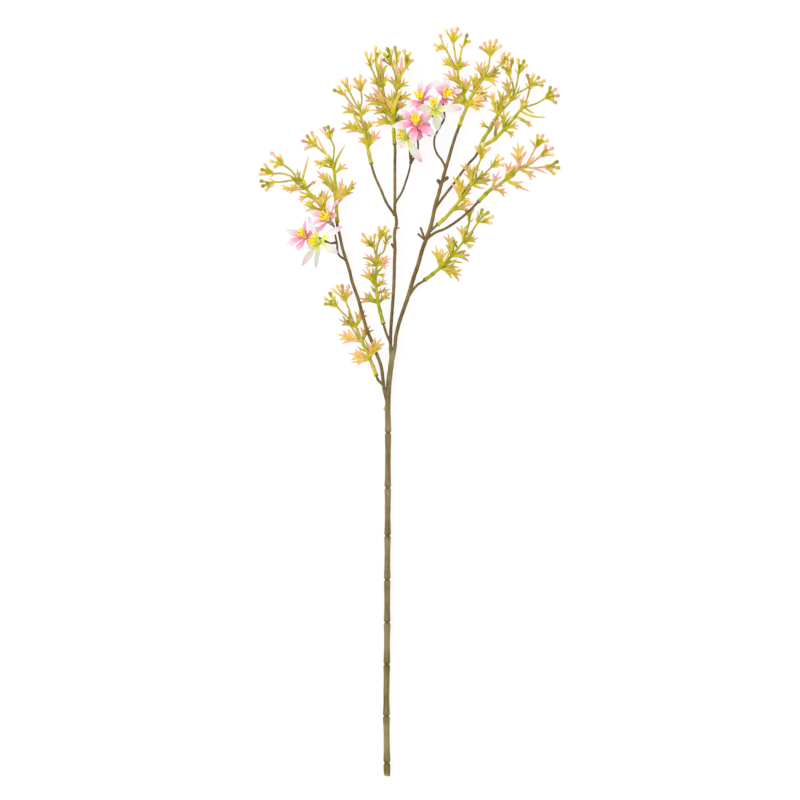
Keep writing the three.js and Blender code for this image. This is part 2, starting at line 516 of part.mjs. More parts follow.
// Mouth and direction of what a twig ends in: a sprig's sleeve, or a calyx's foot
function seat(name) {
  if (SPRIGS[name]) {
    const points = stemPoints(SPRIGS[name][0]);
    return { mouth: points[0], inward: points[1].clone().sub(points[0]).normalize() };
  }
  const inward = at(FLOWERS[name].faces).normalize();
  return { mouth: at(FLOWERS[name].at).addScaledVector(inward, -CALYX_LONG - STEP), inward };
}

function stubSeat(name) {
  const [root, mouth] = STUBS[name].map(([x, y, up]) => new THREE.Vector3(x, y, axisHeight(y) + up));
  return { root, mouth, outward: mouth.clone().sub(root).normalize() };
}

// Grooved joints along the trunk, socket stubs where the branches plug in, and a bore for the wire
function trunk() {
  const rings = [[0, SHOULDER_R - 0.15]];
  JOINTS.forEach((y, i) => {
    rings.push([y - SHOULDER_LONG, SHOULDER_R], [y, NECK_R], [y + SHOULDER_LONG, SHOULDER_R]);
    const next = JOINTS[i + 1] ?? FORK_Y;
    rings.push([(y + next) / 2, MID_R]);
  });
  rings.push([FORK_Y - 3, SHOULDER_R], [TRUNK_TOP, SHOULDER_R - 0.6]);
  let body = tube(rings.map(([y]) => trunkAt(y)), rings.map(([, r]) => r), TRUNK_SIDES);
  const holes = [];
  Object.keys(STUBS).forEach((name) => {
    const { root, mouth, outward } = stubSeat(name);
    body = body.add(tube([root, mouth], [STUB_R - 0.3, STUB_R], TRUNK_SIDES));
    holes.push(hole(mouth, outward.negate()));
  });
  const bore = [-1, ...TRUNK.map(([, y]) => y).filter((y) => y > 0 && y < WIRE_END), WIRE_END + 1];
  holes.push(tube(bore.map((y) => trunkAt(y)), bore.map(() => BORE_R), WIRE_SIDES));
  return holes.reduce((left, cut) => left.subtract(cut), body);
}

function trunkWire() {
  const places = [0.5, ...TRUNK.map(([, y]) => y).filter((y) => y > 0 && y < WIRE_END), WIRE_END];
  return tube(places.map((y) => trunkAt(y)), places.map(() => WIRE_R), WIRE_SIDES);
}

// A branch from its peg in the trunk to the tip in its sprig, with its twigs fused on
function branch({ from, radius, route, ends, twigs }) {
  const { mouth, outward } = stubSeat(from);
  const line = [mouth.clone().addScaledVector(outward, GAP), ...route.map(at)];
  const end = seat(ends);
  line.push(...[-LEAD, -GAP].map((s) => end.mouth.clone().addScaledVector(end.inward, s)));
  const pieces = [tube(line, taper(radius, line.length), BRANCH_SIDES), peg(mouth, outward, -PEG_DEEP, 1),
    peg(end.mouth, end.inward, -1, PEG_DEEP)];
  twigs.forEach((twig) => {
    const points = twig.route.map(at);
    if (twig.blunt) {
      pieces.push(tube(points, BLUNT_R, TWIG_SIDES));
      return;
    }
    const { mouth: to, inward } = seat(twig.ends);
    const isLeafTwig = twig.ends in SPRIGS;
    points.push(...[-LEAD, -GAP].map((s) => to.clone().addScaledVector(inward, s)));
    pieces.push(tube(points, taper(isLeafTwig ? TWIG_R : PRONG_R, points.length), TWIG_SIDES),
      peg(to, inward, -1, isLeafTwig ? PEG_DEEP : PRONG_DEEP));
  });
  return wasm.Manifold.union(pieces);
}

// Thin end of a twig between two places along a direction
function peg(place, way, from, to) {
  return tube([from, to].map((s) => place.clone().addScaledVector(way, s)), [PEG_R, PEG_R], TWIG_SIDES);
}

// A sprig: sleeve, stems, cut leaves, slivers, and clusters of buds, all one moulding
function sprig(stems, seed) {
  const draw = draws(seed);
  const first = stemPoints(stems[0]);
  const inward = first[1].clone().sub(first[0]).normalize();
  const collar = [0, LIP_LONG, SLEEVE_LONG].map((s) => first[0].clone().addScaledVector(inward, s));
  const pieces = [tube(collar, [SLEEVE_R, SLEEVE_R, SPRIG_R[0]], SOCKET_SIDES)];
  stems.forEach((one, which) => {
    const points = stemPoints(one);
    const line = which === 0 ? [collar[1], ...points.slice(1)] : points;
    pieces.push(tube(line, taper(SPRIG_R, line.length), TWIG_SIDES));
    const grow = ([i, x, y, rise], cuts) => {
      const tip = new THREE.Vector3(x, y, Math.max(points[i].z + rise, TABLE_CLEAR));
      pieces.push(leaf(points[i], tip, cuts, draw));
    };
    one.leaves.forEach((place) => {
      const long = Math.hypot(place[1] - points[place[0]].x, place[2] - points[place[0]].y);
      grow(place, long < WIDE_LEAF ? 1 : 2);
    });
    one.slivers.slice(0, 1).forEach((place) => grow(place, 0));
    const fork = points[points.length - 1];
    one.clusters.forEach(({ stalk, rise, buds }) => {
      const heights = taper([fork.z, fork.z + rise], stalk.length + 1);
      const route = [fork, ...stalk.map(([x, y], i) => new THREE.Vector3(x, y, heights[i + 1]))];
      const root = route[route.length - 1];
      const knob = root.clone().sub(route[route.length - 2]).normalize().multiplyScalar(KNOB_LONG);
      const thickness = [...taper(STALK_R, route.length), STALK_R[1]];
      pieces.push(tube([...route, root.clone().add(knob)], thickness, BUD_SIDES));
      buds.forEach(([x, y], i) => {
        const spread = draw();
        if (i % SPARE_BUD === SPARE_BUD - 1) return;
        const head = new THREE.Vector3(x, y, Math.max(root.z + 3 * Math.sin(2.4 * i + 1) * spread, BUD_R));
        pieces.push(bud(root, head));
      });
    });
  });
  return largest(wasm.Manifold.union(pieces).subtract(hole(first[0], inward)));
}

// The main body of a union, without the empty scraps that pieces with a shared point can leave
function largest(shape) {
  return shape.decompose().reduce((best, body) => (body.volume() > best.volume() ? body : best));
}

// Directions of a flower: the way it faces and two across it
function flowerFrame(faces) {
  const out = at(faces).normalize();
  const right = new THREE.Vector3(0, 1, 0).cross(out).normalize();
  return { out, right, over: new THREE.Vector3().crossVectors(out, right) };
}

// Petals: one sheet, a ring with a hole and six petals that widen, arch and come to a point
function star({ at: place, faces, tips }) {
  const middle = at(place);
  const { out, right, over } = flowerFrame(faces);
  const petals = tips.map((tip) => {
    const d = at(tip).sub(middle);
    return { tip: at(tip), turn: Math.atan2(d.dot(over), d.dot(right)) };
  }).sort((a, b) => a.turn - b.turn);
  const turns = [petals[PETALS - 1].turn - 2 * Math.PI, ...petals.map(({ turn }) => turn),
    petals[0].turn + 2 * Math.PI];
  const round = (turn, r) => middle.clone().addScaledVector(right, Math.cos(turn) * r)
    .addScaledVector(over, Math.sin(turn) * r);
  const starts = petals.map(({ turn }, i) => (turns[i] + turn) / 2);
  const points = [];
  const put = (p, normal) => points.push({ p, normal }) - 1;
  const inner = starts.map((turn) => put(round(turn, RING_HOLE_R), out));
  const outer = starts.map((turn) => put(round(turn, RING_R), out));
  const top = [];
  const edge = [];
  petals.forEach(({ tip, turn }, i) => {
    const next = (i + 1) % PETALS;
    top.push([inner[i], outer[i], outer[next]], [inner[i], outer[next], inner[next]]);
    const root = round(turn, RING_R * 0.8);
    const reach = tip.clone().sub(root);
    const side = new THREE.Vector3().crossVectors(reach, out).normalize();
    const normal = new THREE.Vector3().crossVectors(side, reach).normalize();
    const arch = PETAL_ARCH * reach.length();
    const rib = (s) => root.clone().addScaledVector(reach, s).addScaledVector(normal, arch * s * (1 - s));
    let [l, r] = [outer[next], outer[i]];
    const spoke = round(turn, 1).sub(middle);
    const room = (s, k) => PETAL_SHARE * rib(s).sub(middle).dot(spoke)
      * Math.tan(Math.min((turns[i + 1 + k] - turns[i + k]) / 2, WIDEST_SHARE));
    const rows = PETAL_ROWS.map(([s, half]) => [1, -1].map((hand, k) => {
      const wide = Math.min(half * PETAL_WIDE, room(s, k));
      return put(rib(s).addScaledVector(side, hand * wide), normal);
    }));
    rows.forEach(([nextR, nextL]) => {
      top.push([r, nextR, nextL], [r, nextL, l]);
      [l, r] = [nextL, nextR];
    });
    const apex = put(tip, normal);
    top.push([r, apex, l]);
    edge.push(outer[i], ...rows.map((row) => row[0]), apex, ...rows.map((row) => row[1]).reverse());
  });
  const n = points.length;
  const both = [PETAL / 2, -PETAL / 2]
    .flatMap((up) => points.map(({ p, normal }) => p.clone().addScaledVector(normal, up)));
  const wall = (a, b) => [[a, a + n, b + n], [a, b + n, b]];
  return solid(both, [...top, ...top.map(([a, b, c]) => [a + n, c + n, b + n]),
    ...edge.flatMap((a, i) => wall(a, edge[(i + 1) % edge.length])),
    ...inner.flatMap((a, i) => wall(inner[(i + 1) % PETALS], a))]);
}

// Calyx: a cup that flares to its rim, with a socket for the prong below and one for the peg above
function calyx({ at: place, faces }) {
  const { out } = flowerFrame(faces);
  const along = (s) => at(place).addScaledVector(out, s - STEP);
  const cup = tube(CALYX_SHAPE.map(([s]) => along(s)), CALYX_SHAPE.map(([, r]) => r), CUP_SIDES);
  const sockets = [[-CALYX_LONG - 1, -CALYX_LONG + PRONG_DEEP + 0.5], [-RIM_DEEP, 1]]
    .map((ends) => tube(ends.map(along), [SOCKET_R, SOCKET_R], SOCKET_SIDES));
  return cup.subtract(sockets[0]).subtract(sockets[1]);
}

// Stamens: a peg through the star into the calyx, with a flange on top that carries a tuft of threads
function stamens({ at: place, faces, nods }, seed) {
  const { out, right, over } = flowerFrame(faces);
  const draw = draws(seed);
  const points = [];
  const around = (turn, r, height) => at(place).addScaledVector(out, height)
    .addScaledVector(right, Math.cos(turn) * r).addScaledVector(over, Math.sin(turn) * r);
  const put = (p) => points.push(p) - 1;
  const under = PETAL / 2 + GAP;
  const skin = [];
  const threads = Array.from({ length: STAMENS }, (_, k) => {
    const turn = 2 * Math.PI * k / STAMENS;
    const base = [[-0.26, FLANGE_R], [0.26, FLANGE_R], [0, 0.7]]
      .map(([t, r]) => around(turn + t, r, under + FLANGE_THICK));
    const lean = 0.2 + 0.3 * draw();
    const way = out.clone().addScaledVector(right, Math.cos(turn + 0.4 * draw()) * lean)
      .addScaledVector(over, Math.sin(turn + 0.4 * draw()) * lean).add(at([...nods, 0])).normalize();
    const long = STAMEN_LONG * (0.8 + 0.2 * draw());
    const foot = put(around(turn, PEG_R, GAP - RIM_DEEP - STEP));
    const neck = put(around(turn, PEG_R, under));
    const head = base.map((p) => p.clone().addScaledVector(way, long));
    return { foot, neck, base: base.map(put), head: head.map(put) };
  });
  threads.forEach(({ foot, neck, base: [a, b, c], head: [d, e, f] }, k) => {
    const next = threads[(k + 1) % STAMENS];
    const [nextA, , nextC] = next.base;
    const peg = [[foot, next.foot, next.neck], [foot, next.neck, neck]];
    const flange = [[neck, next.neck, nextA], [neck, nextA, b], [neck, b, a], [b, nextA, nextC],
      [b, nextC, c]];
    const thread = [[a, b, e], [a, e, d], [b, c, f], [b, f, e], [c, a, d], [c, d, f], [d, e, f]];
    skin.push(...peg, ...flange, ...thread);
    if (k > 0 && k < STAMENS - 1) {
      skin.push([threads[0].foot, next.foot, foot], [threads[0].base[2], c, nextC]);
    }
  });
  return solid(points, skin);
}

addMesh('trunk', trunk(), STEM);
addMesh('trunk_wire', trunkWire(), STEEL);
Object.entries(BRANCHES).forEach(([name, one]) => addMesh(name, branch(one), TWIG));
Object.entries(SPRIGS).forEach(([name, stems], i) => addMesh(name, sprig(stems, 101 + i), LEAF));
Object.entries(FLOWERS).forEach(([name, one], i) => {
  addMesh(`${name}_calyx`, calyx(one), CUP);
  addMesh(`${name}_petals`, star(one), one.white ? WHITE : PINK);
  addMesh(`${name}_stamens`, stamens(one, 501 + i), YELLOW);
});
spray.position.set(-CENTRE[0], -CENTRE[1], 0);

export default spray;
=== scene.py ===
from functools import partial

import bpy
import numpy as np
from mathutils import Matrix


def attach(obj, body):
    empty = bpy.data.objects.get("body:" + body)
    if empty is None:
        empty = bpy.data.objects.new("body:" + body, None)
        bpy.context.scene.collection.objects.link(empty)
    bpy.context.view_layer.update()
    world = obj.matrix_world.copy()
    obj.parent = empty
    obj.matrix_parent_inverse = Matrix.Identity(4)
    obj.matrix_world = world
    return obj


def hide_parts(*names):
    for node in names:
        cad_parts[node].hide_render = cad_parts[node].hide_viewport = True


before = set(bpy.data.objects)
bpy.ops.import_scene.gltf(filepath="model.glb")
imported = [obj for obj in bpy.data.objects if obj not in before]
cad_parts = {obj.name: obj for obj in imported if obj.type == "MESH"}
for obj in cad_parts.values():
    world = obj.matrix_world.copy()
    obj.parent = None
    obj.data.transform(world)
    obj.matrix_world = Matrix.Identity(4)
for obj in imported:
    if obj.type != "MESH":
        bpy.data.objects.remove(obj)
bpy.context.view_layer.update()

# The view. The spray lies on a table and the camera hangs straight over it, far up with a long lens, so that
# heights hardly shift anything: one millimetre of the table is one pixel. Places are in mm from the cut end.
MIDDLE = np.array([22.5, 375.2, 0.0])  # middle of the spray, which is the frame's origin
PHOTO = 800  # pixels along each side of the photograph
CUT_END_PIXEL = (387, 777)  # where the stem's cut end is in it
LENS = 150.0
SENSOR = 36.0
BLOOM_HEIGHT = 12.0  # height that is in true size, in mm

eye = np.array([PHOTO / 2 - CUT_END_PIXEL[0], CUT_END_PIXEL[1] - PHOTO / 2,
                PHOTO * LENS / SENSOR + BLOOM_HEIGHT])
camera = bpy.data.objects.new("camera", bpy.data.cameras.new("camera"))
camera.data.lens = LENS
camera.data.sensor_width = SENSOR
camera.location = (eye - MIDDLE) / 1000
bpy.context.collection.objects.link(camera)
bpy.context.scene.camera = camera


# The table: a light table's opal acrylic sheet, lit from below, so that no shadow shows on it. A big soft
# tent lights the spray evenly from above, as for a catalogue, and one lamp on the upper left gives it its
# gleam. Sizes here are in metres.
TABLE_HALF = 6.0
TABLE_UNDER = 0.0002  # how far the sheet is below what lies on it
TABLE_SHEET = "#6a6a6a"
TABLE_GLOW = 0.87
TENT_GLOW = 0.8
WHITE = "#ffffff"
LAMP_SIZE = 1.4
LAMP_WATTS = 18
LAMP_PLACE = (-1.1, 0.9, 1.5)
LAMP_TURN = (-0.42, -0.6, 0)  # in radians, so that it faces the middle of the spray


def linear(code):
    """sRGB hex to linear colour: a channel c becomes ((c + 0.055) / 1.055) ** 2.4, or c / 12.92 if dark."""
    c = np.array([int(code[i:i + 2], 16) for i in (1, 3, 5)]) / 255
    return (*np.where(c > 0.04045, ((c + 0.055) / 1.055) ** 2.4, c / 12.92).tolist(), 1.0)


def plug(material, node, inputs):
    """Sets a node's sockets, given by name or number, or links them where a value is an output socket."""
    for name, value in dict(inputs).items():
        if isinstance(value, bpy.types.NodeSocket):
            material.node_tree.links.new(value, node.inputs[name])
        else:
            node.inputs[name].default_value = value


def add_node(material, kind, inputs=(), stops=(), output=0, **settings):
    """Adds a node with its settings, plugs its inputs and gives its output of that name or number. stops
    pairs a colour ramp's places with hex colours."""
    node = material.node_tree.nodes.new("ShaderNode" + kind)
    for name, value in settings.items():
        setattr(node, name, value)
    for place, (at, colour) in enumerate(stops):
        element = node.color_ramp.elements[place] if place < 2 else node.color_ramp.elements.new(at)
        element.position = at
        element.color = linear(colour)
    plug(material, node, inputs)
    return node.outputs[output]


def finish_of(name):
    """A new material of that name, its shader, and add_node with the material filled in."""
    material = bpy.data.materials.new(name)
    material.use_nodes = True
    return material, material.node_tree.nodes["Principled BSDF"], partial(add_node, material)


acrylic, shader, _ = finish_of("opal_acrylic")
plug(acrylic, shader, {"Base Color": linear(TABLE_SHEET), "Roughness": 0.8, "Specular IOR Level": 0.1,
                       "Emission Color": linear(WHITE), "Emission Strength": TABLE_GLOW})
table_mesh = bpy.data.meshes.new("table")
corners = [(x * TABLE_HALF, y * TABLE_HALF, -TABLE_UNDER) for x, y in ((-1, -1), (1, -1), (1, 1), (-1, 1))]
table_mesh.from_pydata(corners, [], [(0, 1, 2, 3)])
table_mesh.materials.append(acrylic)
table = bpy.data.objects.new("table", table_mesh)
bpy.context.collection.objects.link(table)

tent = bpy.data.worlds.new("light_tent")
tent.use_nodes = True
plug(tent, tent.node_tree.nodes["Background"], {"Color": linear(WHITE), "Strength": TENT_GLOW})
bpy.context.scene.world = tent
lamp = bpy.data.objects.new("softbox", bpy.data.lights.new("softbox", "AREA"))
lamp.data.size = LAMP_SIZE
lamp.data.energy = LAMP_WATTS
lamp.location = LAMP_PLACE
lamp.rotation_euler = LAMP_TURN
bpy.context.collection.objects.link(lamp)
bpy.context.scene.view_settings.view_transform = "Standard"


# Trunk: the jointed stem, moulded in olive-brown polyethylene over a steel wire. Its lengths meet in grooves
# with thick shoulders, it is cut off a little aslant at the foot, and three sockets near its top take the
# branches.
TRUNK = [[0, 0], [-0.6, 65], [0, 137], [0.2, 197], [0.8, 287], [1, 344], [1, 379], [2.4, 399], [4, 411.5],
         [5.6, 425]]
JOINTS = [13, 60, 112, 154, 197, 241, 289, 344, 406]
FORK = 425  # where the axis of the trunk ends, in mm from the cut end
TRUNK_TOP = 427.5
STUBS = {
  "left": [[0.6, 374, 0], [-2.9, 388, 2.2]],
  "centre": [[4.6, 418, 0], [3.6, 430.5, 0.4]],
  "right": [[5.6, 418, 0], [8.0, 430.5, 0.4]],
}
CUT_HEIGHT = 2.7  # height of the axis at the cut end
RISE = 5.0  # how much higher it is at the fork
MID_R = 2.75  # between joints
TAPER = 0.33  # how much thicker the foot is than the top
SHOULDER = 0.5  # how much thicker it is beside a joint
SHOULDER_LONG = 9.0  # how far that reaches
GROOVE = 1.1  # how deep a joint's groove is below the shoulders
GROOVE_HALF = 1.1  # half the width of a groove
SHADE_HALF = 1.6  # half the width of the painted shade line in it
LAST_DEEP = 380  # joints past here are shallow
SHALLOW = 0.25  # share of their depth that those have
TRUNK_SIDES = 32
STUB_R = 2.05
SOCKET_R = 1.18
SOCKET_DEEP = 5.6
BUD_SCAR = [-1.9, 368.6]  # a pale bump that a bud left on the side
BORE_R = 1.3  # hole that the wire lies in
SLANT = 0.16  # slope of the cut end
GAP = 0.3  # clearance between pieces that fit together


def axis_height(y):
    """Height of the trunk's axis, rising with the square of the way from the cut end to the fork."""
    return CUT_HEIGHT + RISE * (np.asarray(y) / FORK) ** 2


def unit(v):
    """Vectors scaled to length 1."""
    return v / np.linalg.norm(v, axis=-1, keepdims=True)


def smooth(route, step):
    """Cubic curve through a route's points, with slopes from neighbour to neighbour, in steps of about step
    mm. Gives the curve's points and how far each is along the route, as a point number with fractions."""
    route = np.asarray(route, float)
    stations = np.concatenate([[0], np.cumsum(np.linalg.norm(np.diff(route, axis=0), axis=1))])
    slopes = np.gradient(route, stations, axis=0)
    at = np.linspace(0, stations[-1], int(stations[-1] / step) + 3)
    i = np.clip(np.searchsorted(stations, at, side="right") - 1, 0, len(route) - 2)
    span = (stations[i + 1] - stations[i])[:, None]
    s = (at - stations[i])[:, None] / span
    curve = (route[i] * (1 + 2 * s) * (1 - s) ** 2 + slopes[i] * span * s * (1 - s) ** 2
             + route[i + 1] * s ** 2 * (3 - 2 * s) + slopes[i + 1] * span * s ** 2 * (s - 1))
    return curve, i + s[:, 0]


def around(sides):
    """Angles of the points round a section, from half a side on."""
    return 2 * np.pi * (np.arange(sides) + 0.5) / sides


def carried(path, radius, sides, along=None, up=(0, 0, 1)):
    """Rings of a round section carried along paths (tubes, rings, 3). A ring's point at angle a is
    path + radius (across cos a + over sin a), where across = along x up and over = across x along."""
    path = np.asarray(path, float)
    along = np.gradient(path, axis=1) if along is None else np.asarray(along)
    along = np.broadcast_to(unit(along), path.shape)
    across = unit(np.cross(along, up))[:, :, None]
    over = np.cross(across[:, :, 0], along)[:, :, None]
    a = around(sides)[:, None]
    radius = np.asarray(radius, float)
    radius = radius[..., None] if radius.ndim == 3 else radius[..., None, None]
    return path[:, :, None] + radius * (across * np.cos(a) + over * np.sin(a))


def turned(place, way, ways, radii, sides, up=(0, 0, 1)):
    """Rings of a straight round part: radii are given at distances along its way from a place."""
    path = place + way * np.asarray(ways)[:, None]
    return carried(path[None], [radii], sides, along=way, up=up)


def by_point(grid):
    """Values on rings (tubes, rings, sides, n) as one row a point. After each tube's points come two for the
    middles of its end rings."""
    ends = grid[:, [0, -1]].mean(axis=2)
    rows = np.concatenate([grid.reshape(len(grid), -1, grid.shape[-1]), ends], axis=1)
    return rows.reshape(-1, grid.shape[-1])


def add_piece(name, parts, material, slot, *nodes):
    """One object from closed tubes. Each part is rings (tubes, rings, sides, 3) in mm and its attributes. The
    first part names them all, and one that another leaves out is 0. Quads join a ring to the next, and fans
    close both ends. What would be below the table lies on it."""
    points, faces, first = [], [], 0
    values = {key: [] for key in parts[0][1]}
    for rings, attributes in parts:
        tubes, steps, sides = rings.shape[:3]
        i, k = np.meshgrid(np.arange(steps - 1), np.arange(sides), indexing="ij")
        here = i * sides + k
        beside = i * sides + (k + 1) % sides
        quads = np.stack([here, here + sides, beside + sides, beside], axis=-1).reshape(-1, 4)
        last = (steps - 1) * sides
        middle = np.full(sides, steps * sides)
        fans = [[middle, here[0], beside[0]], [middle + 1, last + beside[0], last + here[0]]]
        fans = np.moveaxis(fans, 1, -1).reshape(-1, 3)
        shift = first + np.arange(tubes)[:, None, None] * (steps * sides + 2)
        faces += (quads + shift).reshape(-1, 4).tolist() + (fans + shift).reshape(-1, 3).tolist()
        first += tubes * (steps * sides + 2)
        points.append(by_point(rings))
        for key in values:
            grid = np.broadcast_to(attributes.get(key, 0.0), rings.shape[:3])
            values[key].append(by_point(grid[..., None]))
    places = (np.concatenate(points) - MIDDLE) / 1000
    places[:, 2] = np.maximum(places[:, 2], 0)
    mesh = bpy.data.meshes.new(name)
    mesh.from_pydata(places.tolist(), [], faces)
    mesh.shade_smooth()
    for key, value in values.items():
        attribute = mesh.attributes.new(key, "FLOAT", "POINT")
        attribute.data.foreach_set("value", np.concatenate(value).ravel().astype(np.float32))
    mesh.materials.append(material)
    piece = bpy.data.objects.new(name, mesh)
    bpy.context.collection.objects.link(piece)
    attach(piece, "root")
    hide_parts(*nodes)


def stub_seat(name):
    """Foot and mouth of a socket on the trunk, and the way out of it."""
    foot, mouth = (np.array([x, y, axis_height(y) + up]) for x, y, up in STUBS[name])
    return foot, mouth, unit(mouth - foot)


def trunk_parts():
    """The stem is a round section square to Y. At a distance d from the nearest joint, its radius is
    mid + share (shoulder e^-(d/9)^2 - groove e^-(d/1.1)^2) + taper (1 - y/425), and uneven by a few
    hundredths. Its first rings go down the bore. A stub's radius goes over its lip and down its hole."""
    line = smooth(TRUNK, 1.0)[0]
    joints = np.array(JOINTS)
    dense = np.concatenate([joints + d for d in np.linspace(-3, 3, 13)])
    ys = [np.arange(1, TRUNK_TOP, 2.0), dense[dense > 1], [0.12, 0.5, TRUNK_TOP - 0.5]]
    ys = np.unique(np.concatenate(ys))
    d = np.abs(ys[:, None] - joints).min(axis=1)
    turn = around(TRUNK_SIDES)
    share = np.where(ys < LAST_DEEP, 1, SHALLOW)
    joint = SHOULDER * np.exp(-(d / SHOULDER_LONG) ** 2) - GROOVE * np.exp(-(d / GROOVE_HALF) ** 2)
    radius = MID_R + share * joint + TAPER * (1 - ys / FORK)
    radius = radius + 0.07 * np.sin(ys / 7.3) * np.sin(ys / 2.9)
    radius = radius - 0.25 * (ys < 0.2) - 0.6 * (ys > TRUNK_TOP - 0.3)
    ripple = 1 + 0.014 * np.sin(3 * turn + ys[:, None] / 17) + 0.01 * np.sin(5 * turn - ys[:, None] / 4.1)
    bore = np.full((3, TRUNK_SIDES), BORE_R)
    bore[2] = radius[0] - 0.4
    radius = np.vstack([bore, radius[:, None] * ripple])
    ys = np.concatenate([[4, 0, 0], ys])
    path = np.stack([np.interp(ys, line[:, 1], line[:, 0]), ys, axis_height(ys)], axis=-1)
    rings = carried(path[None], radius[None], TRUNK_SIDES, along=(0, 1, 0))
    rings[0, :6, :, 1] -= SLANT * (rings[0, :6, :, 0] - path[:6, None, 0])
    d = np.concatenate([[SHOULDER_LONG] * 3, d])
    share = np.concatenate([[1] * 3, share])
    # Painted shade: a dark line along each joint's groove, fainter at the shallow joints.
    groove = (share * np.exp(-(d / SHADE_HALF) ** 2))[:, None]
    parts = [(rings, {"groove": groove, "cut": np.clip(1.5 - ys, 0, 1)[:, None], "thin": 0})]
    for name in STUBS:
        foot, mouth, out = stub_seat(name)
        long = np.linalg.norm(mouth - foot)
        ways = np.array([0, 0.5, 0.8, 0.92, 0.98, 1, 1, 0.98, 0.6, 1 - SOCKET_DEEP / long]) * long
        radii = [*[STUB_R] * 4, STUB_R - 0.04, STUB_R - 0.2, SOCKET_R + 0.15, *[SOCKET_R] * 3]
        parts.append((turned(foot, out, ways, radii, 20), {"thin": 0.35}))
    middle = np.array([*BUD_SCAR, axis_height(BUD_SCAR[1]) + 0.8])
    ways = [-2.4, -1.8, -0.6, 0.8, 1.8, 2.3]
    scar = turned(middle, np.array([0.1, 1, 0]), ways, [0.4, 1.1, 1.6, 1.5, 1.0, 0.2], 12)
    parts.append((scar, {"cut": 1}))
    return parts


# The moulding has a dull skin, streaked along by the flow of the plastic, with shade painted darker into the
# grooves, and paler where it was cut. Streaks are about 1.5 mm wide and 25 mm long, and the grain of the
# mould is 0.5 mm.
def stem_plastic(name, dark, mid, light):
    """Polyethylene with streaks along Y, painted shade in the grooves, darker on thin twigs, and pale at the
    cut.
    """
    material, shader, add = finish_of(name)
    place = add("TexCoord", output="Object")
    long_way = add("Mapping", {"Vector": place, "Scale": (1, 0.08, 1)})
    streaks = add("TexNoise", {"Vector": long_way, "Scale": 420, "Detail": 3, "Roughness": 0.6})
    grain = add("TexNoise", {"Vector": place, "Scale": 900, "Detail": 4})
    patches = add("TexNoise", {"Vector": place, "Scale": 60, "Detail": 2})
    blend = add("Math", {0: streaks, 1: patches}, operation="ADD")
    half = add("Math", {0: blend, 1: 0.5}, operation="MULTIPLY")
    skin = add("ValToRGB", {"Fac": half}, [(0.36, dark), (0.5, mid), (0.66, light)])
    groove, thin, cut = (add("Attribute", output="Fac", attribute_name=key)
                         for key in ("groove", "thin", "cut"))
    # Painted shade: the grooves are mixed towards dark brown, and thin parts are darkened the same way.
    shade = add("Math", {0: groove, 1: thin}, operation="MAXIMUM")
    weaker = add("Math", {0: shade, 1: 0.75}, operation="MULTIPLY")
    darker = add("Mix", {0: weaker, 6: skin, 7: linear("#63491c")}, output=2, data_type="RGBA")
    whole = add("Mix", {0: cut, 6: darker, 7: linear("#b5ab5c")}, output=2, data_type="RGBA")
    bump = add("Bump", {"Height": grain, "Strength": 0.35, "Distance": 0.0003})
    flow = add("Bump", {"Height": streaks, "Strength": 0.4, "Distance": 0.0004, "Normal": bump})
    rough = add("MapRange", {"Value": grain, "To Min": 0.5, "To Max": 0.68})
    plug(material, shader, {"Base Color": whole, "Normal": flow, "Roughness": rough, "IOR": 1.5,
                            "Specular IOR Level": 0.35})
    return material


olive_polyethylene = stem_plastic("olive_polyethylene", "#6a571f", "#877646", "#9d9260")
add_piece("trunk_moulding", trunk_parts(), olive_polyethylene, "stem", "trunk")


# Wire: drawn steel, 1.6 mm thick, inside the trunk. Only its end shows, in the cut end of the stem.
# Drawing leaves fine lines along it, 0.2 mm apart, that glint.
steel, shader, add = finish_of("drawn_steel_wire")
place = add("TexCoord", output="Object")
long_way = add("Mapping", {"Vector": place, "Scale": (1, 0.03, 1)})
lines = add("TexNoise", {"Vector": long_way, "Scale": 5000, "Detail": 2})
tone = add("ValToRGB", {"Fac": lines}, [(0.3, "#7c7a76"), (0.7, "#b4b2ae")])
bump = add("Bump", {"Height": lines, "Strength": 0.3, "Distance": 0.0001})
plug(steel, shader, {"Base Color": tone, "Normal": bump, "Metallic": 1, "Roughness": 0.36})
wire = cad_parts["trunk_wire"]
wire.data.materials.clear()
wire.data.materials.append(steel)


